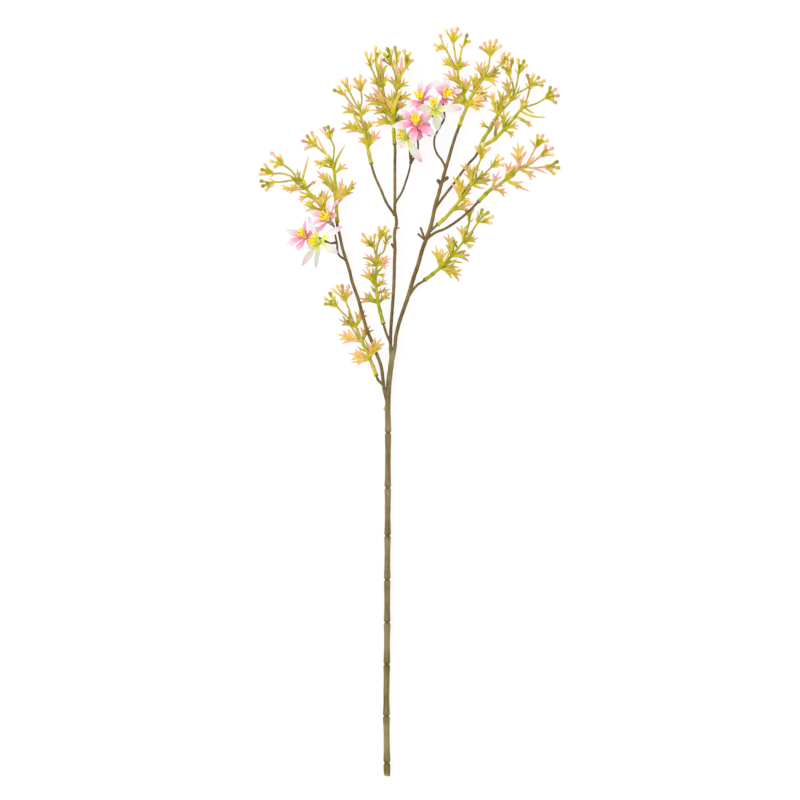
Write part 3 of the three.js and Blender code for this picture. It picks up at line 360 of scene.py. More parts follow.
# Sprigs: each is one soft green moulding, pushed over the end of its twig by a sleeve.
# Stem is [x, y] from the sleeve's mouth to the fork, and lift is its height at both ends. Leaves and slivers
# are [stem point, tip x, tip y, rise of the tip]. Clusters are [stalk, its rise, heads of its buds].
SPRIGS = {
  "sprig_left_low": [{
    "stem": [[-10.4, 400.6], [-14, 410.5], [-17.3, 418.2], [-20, 426], [-24.6, 435], [-28.4, 443.4],
     [-31.4, 450.3], [-33.7, 455]], "lift": [8, 7],
    "leaves": [[2, -39, 424, -8], [2, -36, 415, -2], [2, -5, 439, 8], [4, -51, 443, -8], [4, -16, 452, -5],
     [6, -49, 458.5, 3], [6, -22, 468, -5]], "slivers": [[3, -30, 431, 4]],
    "clusters": [[[[-38.3, 459], [-45.2, 465], [-50.6, 471]], -1, [[-63, 479], [-62.4, 473.4],
     [-57.5, 484.4], [-53.6, 480.2]]], [[[-37, 465], [-41.4, 476.3]], 3, [[-50, 491], [-45.2, 492],
     [-38.7, 491.6], [-35.7, 485], [-55.2, 488]]]],
  }],
  "sprig_left_inner": [{
    "stem": [[-3.4, 452.5], [-7.1, 466], [-8.8, 474], [-10.5, 484], [-11, 490], [-11, 503], [-10.5, 512],
     [-11, 520]], "lift": [11, 11],
    "leaves": [[2, -28, 479, -4], [2, 6, 485, 5], [4, -25, 508, 3], [4, 0, 497, 4], [6, 5, 519, 5],
     [6, -22, 524, -4]], "slivers": [[3, -16, 492, 3], [5, -2, 512, 3]],
    "clusters": [[[[-13, 529.6]], -1, [[-24.6, 543], [-25.5, 537], [-17.5, 541], [-20.4, 532.4],
     [-12.6, 543]]], [[[-9.6, 530.5], [-7.1, 538]], 2, [[-8.4, 550], [-2.2, 550.6], [1.4, 547.4]]],
     [[[-3.8, 525], [-1.3, 533]], 5, [[3.4, 541], [-1.6, 543.4]]]],
  }],
  "sprig_left_top": [{
    "stem": [[-49.9, 554.2], [-51, 573], [-52.2, 584], [-52.6, 603], [-53.7, 609], [-54.1, 615]],
     "lift": [9, 11],
    "leaves": [[2, -71, 607, 4], [1, -45, 600, 3], [1, -30, 595.5, 0], [4, -63, 621, -4],
     [3, -40, 614, -3]], "slivers": [[4, -74.4, 616.4, -5], [4, -41.5, 632.5, 3], [5, -69, 640, -2]],
    "clusters": [[[[-57.1, 619.5], [-66.3, 627], [-70.5, 631]], 1, [[-75.5, 645], [-71, 641],
     [-80.5, 641.4], [-84.7, 636], [-82.4, 628.3]]], [[[-53.3, 622.6], [-53, 630.2], [-56.4, 638]], 3,
     [[-63.3, 649.5], [-59.1, 650.6], [-54, 648.4]]]],
  }, {
    "stem": [[-50.8, 561], [-63, 567], [-70.7, 577], [-75.8, 582], [-81, 588.5], [-85.5, 594.7],
     [-89.6, 596.7]], "lift": [9.2, 8],
    "leaves": [[5, -90, 609, 4], [4, -106.4, 588.5, -9], [3, -90, 577, -3], [2, -61, 586.5, 3],
     [2, -84, 571.5, -5], [4, -70, 597, 3]], "slivers": [[5, -78, 622, 3], [5, -97.2, 587, 3]],
    "clusters": [[[[-94.7, 605.4], [-104.3, 612.5]], 5, [[-115.6, 624], [-107.7, 622], [-117, 616],
     [-113, 609.6]]], [[[-96.2, 601], [-106.4, 603.8], [-114, 603.3]], 1.5, [[-122.7, 613], [-126, 607.8],
     [-127.6, 603.2]]], [[[-95.2, 597], [-103.8, 595.7], [-113.5, 595.2]], -3, [[-127, 596.6],
     [-125.4, 591], [-121.7, 587]]]],
  }],
  "sprig_centre_left": [{
    "stem": [[-15.6, 612.7], [-18, 623], [-19.4, 630.6], [-21.7, 644], [-24, 653], [-26.4, 661],
     [-27.1, 667]], "lift": [9, 10],
    "leaves": [[2, -7, 647, 2], [2, -29, 640, -5], [3, -46, 655, 3], [3, -13, 657, -4], [5, -46.5, 672, -4],
     [5, -17, 671, 4]], "slivers": [[4, -34, 664, 4]],
    "clusters": [[[[-33, 671], [-42.5, 682.5]], -3, [[-53.4, 687.5], [-49.4, 691.6]]], [[[-31, 673],
     [-38, 686]], 1, [[-46.4, 697], [-41, 699]]], [[[-25.2, 677], [-26, 685.6]], 5, [[-32.7, 698.2],
     [-26.8, 701.4], [-21.8, 697], [-34, 690.7]]]],
  }],
  "sprig_centre_top": [{
    "stem": [[7.8, 632], [6.7, 645], [6.3, 652.6], [3.6, 662], [0.6, 671], [-3.3, 683.2], [-4, 689]],
     "lift": [9, 10],
    "leaves": [[2, -15, 655, -7], [3, -16, 667, 2], [2, 24, 664, -5], [4, -24, 684, -3], [4, -13, 686, 4],
     [6, -18.6, 700, 3], [6, 1, 703, 4]], "slivers": [[6, -6, 708, 6], [3, -8, 676, 5]],
    "clusters": [[[[-11, 699], [-14.4, 706.4], [-16.7, 711.4]], -1, [[-21.8, 725.5], [-16, 724]]],
     [[[-8, 700.6], [-10.2, 708.3], [-11.6, 714.8]], 2, [[-11.5, 730], [-7, 726]]]],
  }, {
    "stem": [[6.6, 650], [8, 664], [8.6, 675.5], [9.7, 686.5]], "lift": [9.2, 8],
    "leaves": [[1, 20, 677, 3], [2, 25, 684, -3], [3, 22, 696, 3], [2, -2, 680, -4], [3, 3, 702, -4]],
     "slivers": [[3, 16, 704, 4]],
    "clusters": [[[[9.4, 695], [7.8, 704.5], [5, 712]], 0, [[-3.3, 724], [0.2, 729], [4.4, 727],
     [-4, 718]]], [[[10.4, 700], [9.6, 714]], 4, [[7.8, 730], [11.6, 726]]], [[[14.7, 702.6], [17.8, 708.3],
     [19.3, 713]], 2, [[17, 727], [23, 725], [26, 717.6]]]],
  }],
  "sprig_right_top": [{
    "stem": [[72, 650.5], [75, 659], [79.6, 672], [76.6, 682], [72.7, 693], [70.5, 707]], "lift": [9, 11],
    "leaves": [[2, 97, 670, -4], [3, 61, 690, -4], [4, 55, 704, 3], [3, 84, 700, 4], [5, 54, 719, -3],
     [5, 82, 716, 3]], "slivers": [[5, 73, 725, 5], [4, 66, 708, 5]],
    "clusters": [[[[63.5, 719.2], [58.6, 728.5]], -2, [[46.8, 733], [48.9, 727], [53, 742]]], [[[68.6, 719],
     [66.3, 734]], 1.5, [[58.5, 747], [64.4, 748], [70.6, 749], [74, 743]]], [[[73.2, 721], [75, 729]], 4,
     [[80, 742], [83, 736]]]],
  }, {
    "stem": [[79.2, 670], [87, 685], [95.9, 698]], "lift": [9.4, 8],
    "leaves": [[1, 103, 680, -4], [1, 88, 705, -2], [2, 112, 695, 2], [2, 89, 716, 3], [2, 115, 706, -4]],
     "slivers": [[2, 98, 718, 4], [1, 106, 692, 4]],
    "clusters": [[[[101, 708], [103, 721]], 3, [[93, 730], [97, 734.5], [103, 736.5], [109.5, 737],
     [114, 732]]], [[[107, 708], [115, 713.5]], -1, [[116.7, 724.6], [122.6, 724.6], [126, 719]]]],
  }],
  "sprig_right_outer": [{
    "stem": [[91, 625.6], [96.4, 638], [103.3, 648.4], [111.4, 662.8], [123.4, 676.6], [126.5, 682]],
     "lift": [8, 10],
    "leaves": [[3, 104.5, 686, 2], [3, 117, 687, -4], [4, 119, 700, 4], [2, 92, 655, -3]],
     "slivers": [[4, 134, 683, 5], [3, 100, 668, 4]],
    "clusters": [[[[126, 692], [122.6, 701.5]], 0, [[115.4, 710.6], [119.6, 716], [125.4, 716.6]]],
     [[[129, 690], [131.6, 703.6]], 3, [[131, 717.4], [137, 716.4], [140, 712]]], [[[134.2, 685.6],
     [144, 691.5]], 6, [[155.6, 691], [152, 700], [157.4, 696]]]],
  }, {
    "stem": [[93.2, 630], [107.9, 638.4], [117, 647.6], [128.6, 661], [133.2, 667], [137.8, 670.3]],
     "lift": [8.4, 7],
    "leaves": [[2, 117, 668, 4], [3, 147, 651, -8], [2, 128, 641, -4], [4, 137, 682, -4]],
     "slivers": [[4, 159.6, 660, 4], [5, 148, 664, -2]],
    "clusters": [[[[140.6, 680], [143, 689]], -3, [[140.4, 703], [147, 703.6]]], [[[150.4, 674.4],
     [159, 679.4]], 1, [[163.6, 690.4], [169.4, 688.6], [172, 682], [169.4, 674.3]]]],
  }],
  "sprig_right_far": [{
    "stem": [[91, 575], [98.7, 583], [105.6, 588.7], [111.9, 592], [118.3, 597.3], [125, 602.5],
     [132.6, 608.2], [138, 610]], "lift": [11, 8],
    "leaves": [[2, 113, 607, 3], [2, 121, 584, -5], [4, 125, 616, -3], [6, 131, 636, 3], [6, 150, 600, -9],
     [4, 136, 590, 3]], "slivers": [[4, 143.5, 586, -4], [5, 138, 625, 5], [7, 160, 603, 2]],
    "clusters": [[[[141.6, 616], [148.7, 630]], 4, [[150.4, 642], [156, 642], [161, 637]]], [[[145, 614.5],
     [153.9, 621.4]], 1, [[159, 631.6], [166, 629.4], [166.6, 622.6]]], [[[146, 609.5], [157.9, 610.5]], -3,
     [[171, 616], [172.6, 609.6], [168, 603.6]]]],
  }],
  "sprig_right_inner": [{
    "stem": [[50, 552], [56, 557], [65, 566.6], [73.2, 577], [79, 585], [84.7, 592.5], [88.7, 597.6]],
     "lift": [10.6, 15],
    "leaves": [[3, 72, 602, 3.5], [3, 82, 594, -2], [2, 87, 572.5, 4], [5, 77.2, 615, 2], [5, 107, 597, 2]],
     "slivers": [[5, 98, 588, 4]],
    "clusters": [[[[90.6, 610], [94, 618.4]], 2, [[88, 630], [95.6, 633], [102.4, 629]]], [[[96, 602],
     [105, 610.4]], -1, [[111, 622], [116, 619], [116.6, 612]]]],
  }],
  "sprig_right_low": [{
    "stem": [[36.8, 496.5], [46, 503.4], [53.4, 509.7], [59.7, 516], [64.3, 521], [70.6, 528.6],
     [76.4, 535.5]], "lift": [7.4, 4],
    "leaves": [[2, 49, 532, -1.5], [2, 76, 502, -7], [4, 61, 544, -1.5], [4, 84, 522, -3], [6, 74, 553, -1],
     [6, 92, 540, -3]], "slivers": [[3, 76, 514, 4], [5, 66, 541, 2]],
    "clusters": [[[[79.6, 545], [82.6, 556]], 0, [[79.4, 567], [86, 569]]], [[[83, 543], [91, 555]], 1,
     [[106, 560.8], [104.5, 554.4], [101.6, 565.4], [95.4, 568]]]],
  }],
}
PAINT = {  # yellowness of the green, and strength of the pink blush
    "sprig_left_low": (0.46, 0.85), "sprig_left_inner": (0.38, 0.65), "sprig_left_top": (0.47, 0.5),
    "sprig_centre_left": (0.44, 0.6), "sprig_centre_top": (0.42, 0.5), "sprig_right_top": (0.53, 0.52),
    "sprig_right_outer": (0.45, 0.42), "sprig_right_far": (0.46, 1.35), "sprig_right_inner": (0.49, 0.42),
    "sprig_right_low": (0.4, 0.3),
}
SLEEVE_R = 2.0
SPRIG_R = [2.0, 1.15]  # stem at its sleeve and at its fork
KNUCKLE = 0.22  # how much thicker a stem is at a knuckle
STALK_R = [0.9, 1.0]  # a stalk at the fork and at its buds
BUD_R = 2.2
BUD_SIDES = 15
SPRIG_SEED = 101
BLADE = 0.62  # thickness of a leaf
FOLD = 0.28  # how far it folds up along its middle, to its half width
WIDE_LEAF = 23  # leaves this long have two pairs of large lobes, shorter ones one
TABLE_CLEAR = 0.25  # lowest place of a tip
# Leaves with lobes that reach out little, by their tips.
SLIM = ((-71, 607), (-45, 600), (-30, 595.5), (-70, 597), (104.5, 686), (147, 651), (-106.4, 588.5))
SLIM_SPREAD = 0.55  # how far they reach, to the others' reach
# The second leaves at a knuckle: how far they turn from the large leaf to the stem's way on, and their cuts.
# The airy sprigs have the last one alone.
SECONDS = ((0.3, 1), (0.7, 0))
AIRY = ("sprig_left_top", "sprig_right_outer", "sprig_right_far")
# Tips of slender bracts that stand out beyond the buds.
WISPS = {
  "sprig_left_top": [[-115.9, 589], [-129.8, 602], [-69.2, 649]],
  "sprig_centre_left": [[-41.9, 697.8]],
  "sprig_centre_top": [[-23, 715.6], [-7.3, 728.6], [15.2, 726.7], [11.9, 714], [21.4, 706.4]],
  "sprig_right_top": [[114, 723], [119, 727.5], [109, 717]],
  "sprig_right_far": [[142.6, 639.2]],
  "sprig_right_low": [[91, 567], [89, 560]],
}
# Small leaves tucked in beside the large ones: the tip, and where its knuckle isn't the one nearest to the
# tip, a place near that knuckle.
TUCKED = {
  "sprig_left_inner": [[2, 511], [-23, 513], [3, 488], [-1, 501]],
  "sprig_left_top": [[-68, 585, -63, 567], [-58, 588, -63, 567], [-83, 573, -63, 567], [-73, 611]],
  "sprig_centre_top": [[-1, 693], [-6, 721], [15, 721], [1, 675], [4, 688, 7, 650], [1, 684, 3.6, 662]],
  "sprig_right_top": [[61, 678, 80, 671], [66, 685, 80, 671], [93, 669, 80, 671], [101, 676, 80, 671],
    [102, 683, 84, 675], [76, 708], [81, 688]],
  "sprig_right_outer": [[112, 662, 108, 643], [134, 656], [133, 652, 117, 648]],
  "sprig_right_inner": [[86, 573], [80, 578]],
  "sprig_right_low": [[78, 533, 90, 520], [86, 528, 90, 520]],
}


def draws(seed):
    """Even spread of numbers from 0 to 1: each state is 48271 times the last, modulo 2147483647."""
    state = seed
    while True:
        state = state * 48271 % 2147483647
        yield state / 2147483647


def stem_points(one):
    """A sprig's stem points, raised evenly from its sleeve to its fork."""
    return np.column_stack([one["stem"], np.linspace(*one["lift"], len(one["stem"]))]).astype(float)


def above_table(x, y, height):
    """A tip's place, raised where it would touch the table."""
    return np.array([x, y, max(height, TABLE_CLEAR)])


def nearest(places, spot):
    """The place nearest to a spot, seen from above."""
    return places[np.argmin(np.hypot(*(places[:, :2] - spot).T))]


def blades(rows):
    """Pointed blades from rows of root, tip, half width, arch, sweep, roll, kind, tone, tip's tone and blush.
    Middle line: root + reach s + (normal arch + right sweep) 4 s (1 - s). Kind 0 is a straight-edged rib and
    kind 1 a leaflet. The section is a lens, BLADE thick, folded up along its middle."""
    root, tip, half, arch, sweep, roll, kind, tone, tip_tone, blush = (
        np.array([row[i] for row in rows], float) for i in range(10))
    reach = tip - root
    along = unit(reach)
    right = unit(np.cross(along, [0, 0, 1]))
    normal = np.cross(right, along)
    s = np.sin(np.linspace(0, 1, 13) * np.pi / 2)
    bow = (4 * s * (1 - s))[:, None]
    offset = normal * arch[:, None] + right * sweep[:, None]
    line = root[:, None] + reach[:, None] * s[:, None] + offset[:, None] * bow
    rib = np.minimum(1, 0.45 + 3.5 * s) * (1 - s ** 2.2) ** 1.1
    leaflet = (0.6 + 1.5 * s) * (1 - s) ** 0.62
    width = half[:, None] * (rib + kind[:, None] * (leaflet - rib)) + 0.05
    across = (right * np.cos(roll)[:, None] + normal * np.sin(roll)[:, None])[:, None, None]
    over = (normal * np.cos(roll)[:, None] - right * np.sin(roll)[:, None])[:, None, None]
    a = 2 * np.pi * np.arange(8) / 8
    flat = np.cos(a) * width[..., None]
    high = np.sin(a) * BLADE / 2 * np.minimum(1, width[..., None])
    high = high + FOLD * (np.abs(flat) - width[..., None] / 2)
    rings = line[:, :, None] + across * flat[..., None] + over * high[..., None]
    s = s[:, None]
    return rings, {"tone": (tone[:, None, None] + (tip_tone - tone)[:, None, None] * s),
                   "blush": blush[:, None, None] * np.clip(s * 1.5 - 0.2 + 0.25 * np.cos(a) ** 6, 0, 1),
                   "edge": np.cos(a) ** 2 * np.ones_like(s)}


def leaf_rows(root, tip, cuts, draw, extra, tone, blush, spread=1.0):
    """A leaf's rib, and lobes that grow in pairs between two steps of it and point ahead. A lobe's tip is
    level with a place just past the next step, a little lower, and out from it by about a quarter of the
    leaf's length times spread. Large leaves have a small pair at the foot too. Cuts 0 is one narrow blade."""
    reach = tip - root
    long = np.linalg.norm(reach)
    along = reach / long
    right = unit(np.cross(along, [0, 0, 1]))
    normal = np.cross(right, along)
    arch = long * (0.06 + 0.05 * next(draw))
    sweep = long * 0.12 * (next(draw) - 0.5)

    def rib(s):
        return root + reach * s + (normal * arch + right * sweep) * 4 * s * (1 - s)

    tone = tone + extra.uniform(-0.24, 0.16)
    tip_tone = tone + extra.uniform(0, 0.25)
    pinks = blush * np.where(extra.uniform(0, 1, 12) < 0.42, 1.25, 0.25)
    roll = extra.uniform(-0.35, 0.35)
    wide = 0.5 + 0.056 * long
    if cuts == 0:
        return [(root, tip, 1.3, arch, 1.8 * sweep, roll, 0.6, tone, tip_tone, 0.6 * pinks[0])]
    rows = [(root, tip, wide, arch, sweep, roll, 0.4, tone, tip_tone, pinks[0])]
    steps = [0.3, 0.64] if cuts == 1 else [0.2, 0.46, 0.7]
    for i, (near, far) in enumerate(zip(steps, steps[1:])):
        out = spread * long * (0.24 if cuts == 1 else 0.25 - 0.04 * i) * (0.85 + 0.3 * next(draw))
        ahead = rib(far + 0.1 + 0.06 * next(draw)) - normal * 0.12 * out
        lobes = [((near + far) / 2 - 0.24, ahead, out, 0.9 * wide)]
        if i == 0 and cuts == 2:
            lobes.append((0.03, rib(0.36), spread * long * extra.uniform(0.1, 0.15), 0.6 * wide))
        for start, level, way_out, half in lobes:
            for hand in (-1, 1):
                foot = rib(start)
                end = foot + (level + right * hand * way_out - foot) * extra.uniform(0.85, 1.25)
                size = np.linalg.norm(end - foot)
                rows.append((foot, end, half, 0.1 * size, -0.1 * hand * size, hand * 0.25 + roll, 1, tone,
                             tip_tone + extra.uniform(-0.05, 0.12), pinks[len(rows)]))
    return rows


def bud_rings(roots, heads, bend):
    """Club-shaped buds on thin stalks. Middle line: root + reach s + right bend s (1 - s). The radius swells
    to 0.85 BUD_R at s 0.92, closes at s 1.085, and has five soft folds round the head."""
    reach = heads - roots
    right = unit(np.cross(reach, [0, 0, 1]))
    s = np.array([0, 0.18, 0.4, 0.56, 0.67, 0.76, 0.84, 0.92, 0.99, 1.04, 1.07, 1.085])
    r = np.array([0.62, 0.6, 0.62, 0.68, 0.85, 1.15, 1.5, 1.7, 1.6, 1.2, 0.7, 0.15]) * BUD_R / 2
    folds = np.clip((s - 0.6) * 3, 0, 1)[:, None] * 0.09 * np.cos(5 * around(BUD_SIDES))
    bow = right[:, None] * bend[:, None, None] * (s * (1 - s))[:, None]
    path = roots[:, None] + reach[:, None] * s[:, None] + bow
    radius = np.broadcast_to(r[:, None] * (1 + folds), (len(roots), len(s), BUD_SIDES))
    return carried(path, radius, BUD_SIDES), s


def sprig_parts(name, seed):
    """A sprig's sleeve with its hole, its stems with a knuckle at each leaf, its stalks, blades and buds."""
    draw = draws(seed)
    extra = np.random.default_rng(seed)
    tone, blush = PAINT[name]
    first = stem_points(SPRIGS[name][0])
    inward = unit(first[1] - first[0])
    ways = np.array([SOCKET_DEEP, 0.3, 0, 0, 0.25, 0.7, 1.5, 1.9, 3, 5.5, 8])
    outside = SLEEVE_R + np.array([-0.2, 0.1, 0.25, 0.05, -0.05, -0.1, -0.15, -0.2])
    radii = [SOCKET_R, SOCKET_R, SOCKET_R + 0.2, *outside]
    sleeve = turned(first[0], inward, ways, radii, 16)
    parts = [(sleeve, {"tone": (tone - 0.05 - 0.3 * (ways < 1.6))[:, None], "blush": 0, "edge": 0})]
    rows, roots, heads, paint, knots = [], [], [], [], []
    for which, one in enumerate(SPRIGS[name]):
        points = stem_points(one)
        knots += [*points[1:]]
        line = np.vstack([first[:1] + inward * 1.6, points[1:]]) if which == 0 else points
        path, at = smooth(line, 1.2)
        knuckle = 1 + KNUCKLE * np.exp(-((at - np.rint(at)) * 6) ** 2)
        radius = np.interp(at, [0, len(line) - 1], SPRIG_R) * knuckle
        wash = (tone - 0.03 + 0.05 * np.sin(at * 2.1 + seed))[:, None]
        pink = (0.5 * blush ** 2 * np.clip(np.sin(at * 1.7 + seed * 2.3), 0, 1))[:, None]
        parts.append((carried(path[None], radius[None], 10), {"tone": wash, "blush": pink}))
        for i, x, y, rise in one["leaves"]:
            cuts = 1 if np.hypot(x - points[i][0], y - points[i][1]) < WIDE_LEAF else 2
            tip = above_table(x, y, points[i][2] + rise)
            spread = SLIM_SPREAD if (x, y) in SLIM else 1
            rows += leaf_rows(points[i], tip, cuts, draw, extra, tone, blush, spread)
            reach = tip - points[i]
            onward = unit(points[min(i + 1, len(points) - 1)] - points[max(i - 1, 0)]) * np.linalg.norm(reach)
            for share, small in SECONDS[1:] if name in AIRY else SECONDS:
                beside = reach + (onward - reach) * (share + extra.uniform(-0.15, 0.15))
                beside = points[i] + beside * extra.uniform(0.75, 1.0) + extra.uniform(-2.5, 2.5, 3)
                chance = iter(extra.uniform(0, 1, 4))
                rows += leaf_rows(points[i], above_table(*beside), small, chance, extra, tone - 0.08, blush)
        for place, (i, x, y, rise) in enumerate(one["slivers"]):
            foot = points[min(i, len(points) - 1)]
            chance = draw if place == 0 else iter(extra.uniform(0, 1, 2))
            rows += leaf_rows(foot, above_table(x, y, foot[2] + rise), 0, chance, extra, tone, blush)
        fork = points[-1]
        for stalk, rise, buds in one["clusters"]:
            stalk = np.array(stalk, float)
            heights = fork[2] + rise * (np.arange(len(stalk)) + 1) / len(stalk)
            route = np.vstack([fork, np.column_stack([stalk, heights])])
            root = route[-1]
            way = unit(root - route[-2])
            path, at = smooth(np.vstack([route, root + way * 0.8]), 1.2)
            radius = np.interp(at, [0, len(stalk), len(stalk) + 1], [*STALK_R, STALK_R[1]])
            wash = (tone - 0.08 + 0.06 * at / len(stalk))[:, None]
            stalk_paint = {"tone": wash, "blush": 0.25 * blush ** 2}
            parts.append((carried(path[None], radius[None], 10), stalk_paint))
            level = unit(np.cross(way, [0, 0, 1]))
            mood = extra.uniform(0.45, 1.35)
            for hand in (-1, 1):
                lean = way * extra.uniform(0.5, 0.9) + level * hand * extra.uniform(0.35, 0.8)
                tip = root + unit(lean) * extra.uniform(5, 8) + [0, 0, extra.uniform(-1, 2)]
                rows.append((root - way, tip, 0.8, 0.5, 0.3 * hand, 0.3 * hand, 0.7, tone, tone + 0.3, blush))
            for i, (x, y) in enumerate(buds):
                spread = next(draw)
                roots.append(root)
                heads.append([x, y, max(root[2] + 3 * np.sin(2.4 * i + 1) * spread, BUD_R)])
                paint.append([extra.uniform(0, 1) / mood, *extra.uniform(0, 1, 3)])
            for near, far in zip(buds, buds[1:]):
                between = root[:2] + ((np.array(near) + far) / 2 - root[:2]) * extra.uniform(0.6, 0.75)
                roots.append(root)
                heads.append([*between, max(root[2] - extra.uniform(0, 3), BUD_R)])
                paint.append([extra.uniform(0.45, 1), *extra.uniform(0, 1, 3)])
    for small in TUCKED.get(name, []):
        root = nearest(np.array(knots), small[-2:])
        tip = above_table(*small[:2], root[2] + extra.uniform(1, 4))
        cuts = int(np.linalg.norm(tip - root) > 9)
        rows += leaf_rows(root, tip, cuts, iter(extra.uniform(0, 1, 4)), extra, tone, blush)
    roots, heads, paint = np.array(roots), np.array(heads), np.array(paint)
    for wisp in WISPS.get(name, []):
        root = nearest(roots, wisp)
        tip = above_table(*wisp, root[2] + extra.uniform(-1, 2))
        rows.append((root, tip, 0.8, 0.5, extra.uniform(-0.6, 0.6), 0, 0.5, tone, tone + 0.3, blush))
    parts.append(blades(rows))
    rings, s = bud_rings(roots, heads, 3 * (paint[:, 3] - 0.5))
    paint = paint[:, :, None, None]
    swell = np.clip((s - 0.45) * 2.2, 0, 1)[:, None]
    ripe = np.where(paint[:, 0] < 0.8, 0.95, 0.35) + 0.3 * (paint[:, 1] - 0.5)
    pink = np.clip((s - 0.6) * 3, 0, 1)[:, None] * np.clip(paint[:, 2] * 2.2 - 1, 0, 1) * (0.5 + 0.5 * blush)
    parts.append((rings, {"tone": tone + (ripe - tone) * swell, "blush": pink}))
    return parts


# The green is a soft polyethylene, moulded in one colour and then dusted with yellow and pink from the tips
# inwards. It has a faint gleam, speckles of paint about 1 mm wide, and paler edges where the paint gathers.
foliage, shader, add = finish_of("dusted_green_polyethylene")
place = add("TexCoord", output="Object")
speckle = add("TexNoise", {"Vector": place, "Scale": 800, "Detail": 3})
clouds = add("TexNoise", {"Vector": place, "Scale": 160, "Detail": 2})
tone, blush, edge = (add("Attribute", output="Fac", attribute_name=key) for key in ("tone", "blush", "edge"))
drift = add("MapRange", {"Value": clouds, "From Min": 0.3, "From Max": 0.7, "To Min": -0.16, "To Max": 0.16})
rim = add("Math", {0: edge, 1: 0.12, 2: drift}, operation="MULTIPLY_ADD")
washed = add("Math", {0: tone, 1: rim}, operation="ADD")
green = add("ValToRGB", {"Fac": washed},
                 [(0.05, "#6e6e14"), (0.25, "#999a0e"), (0.5, "#c4bc0e"), (0.72, "#e2ce2c"),
                  (0.9, "#f6d778"), (1.0, "#fae4b2")])
pink = add("Mix", {0: speckle, 6: linear("#fba488"), 7: linear("#fda8b6")}, output=2, data_type="RGBA")
gather = add("MapRange", {"Value": speckle, "From Min": 0.35, "From Max": 0.65,
                          "To Min": -0.1, "To Max": 2.2})
dust = add("Math", {0: blush, 1: gather}, operation="MULTIPLY", use_clamp=True)
skin = add("Mix", {0: dust, 6: green, 7: pink}, output=2, data_type="RGBA")
bump = add("Bump", {"Height": speckle, "Strength": 0.25, "Distance": 0.0002})
plug(foliage, shader, {"Base Color": skin, "Normal": bump, "Roughness": 0.52, "IOR": 1.5,
                       "Specular IOR Level": 0.2})
for number, name in enumerate(SPRIGS):
    add_piece(name + "_moulding", sprig_parts(name, SPRIG_SEED + number), foliage, "foliage", name)


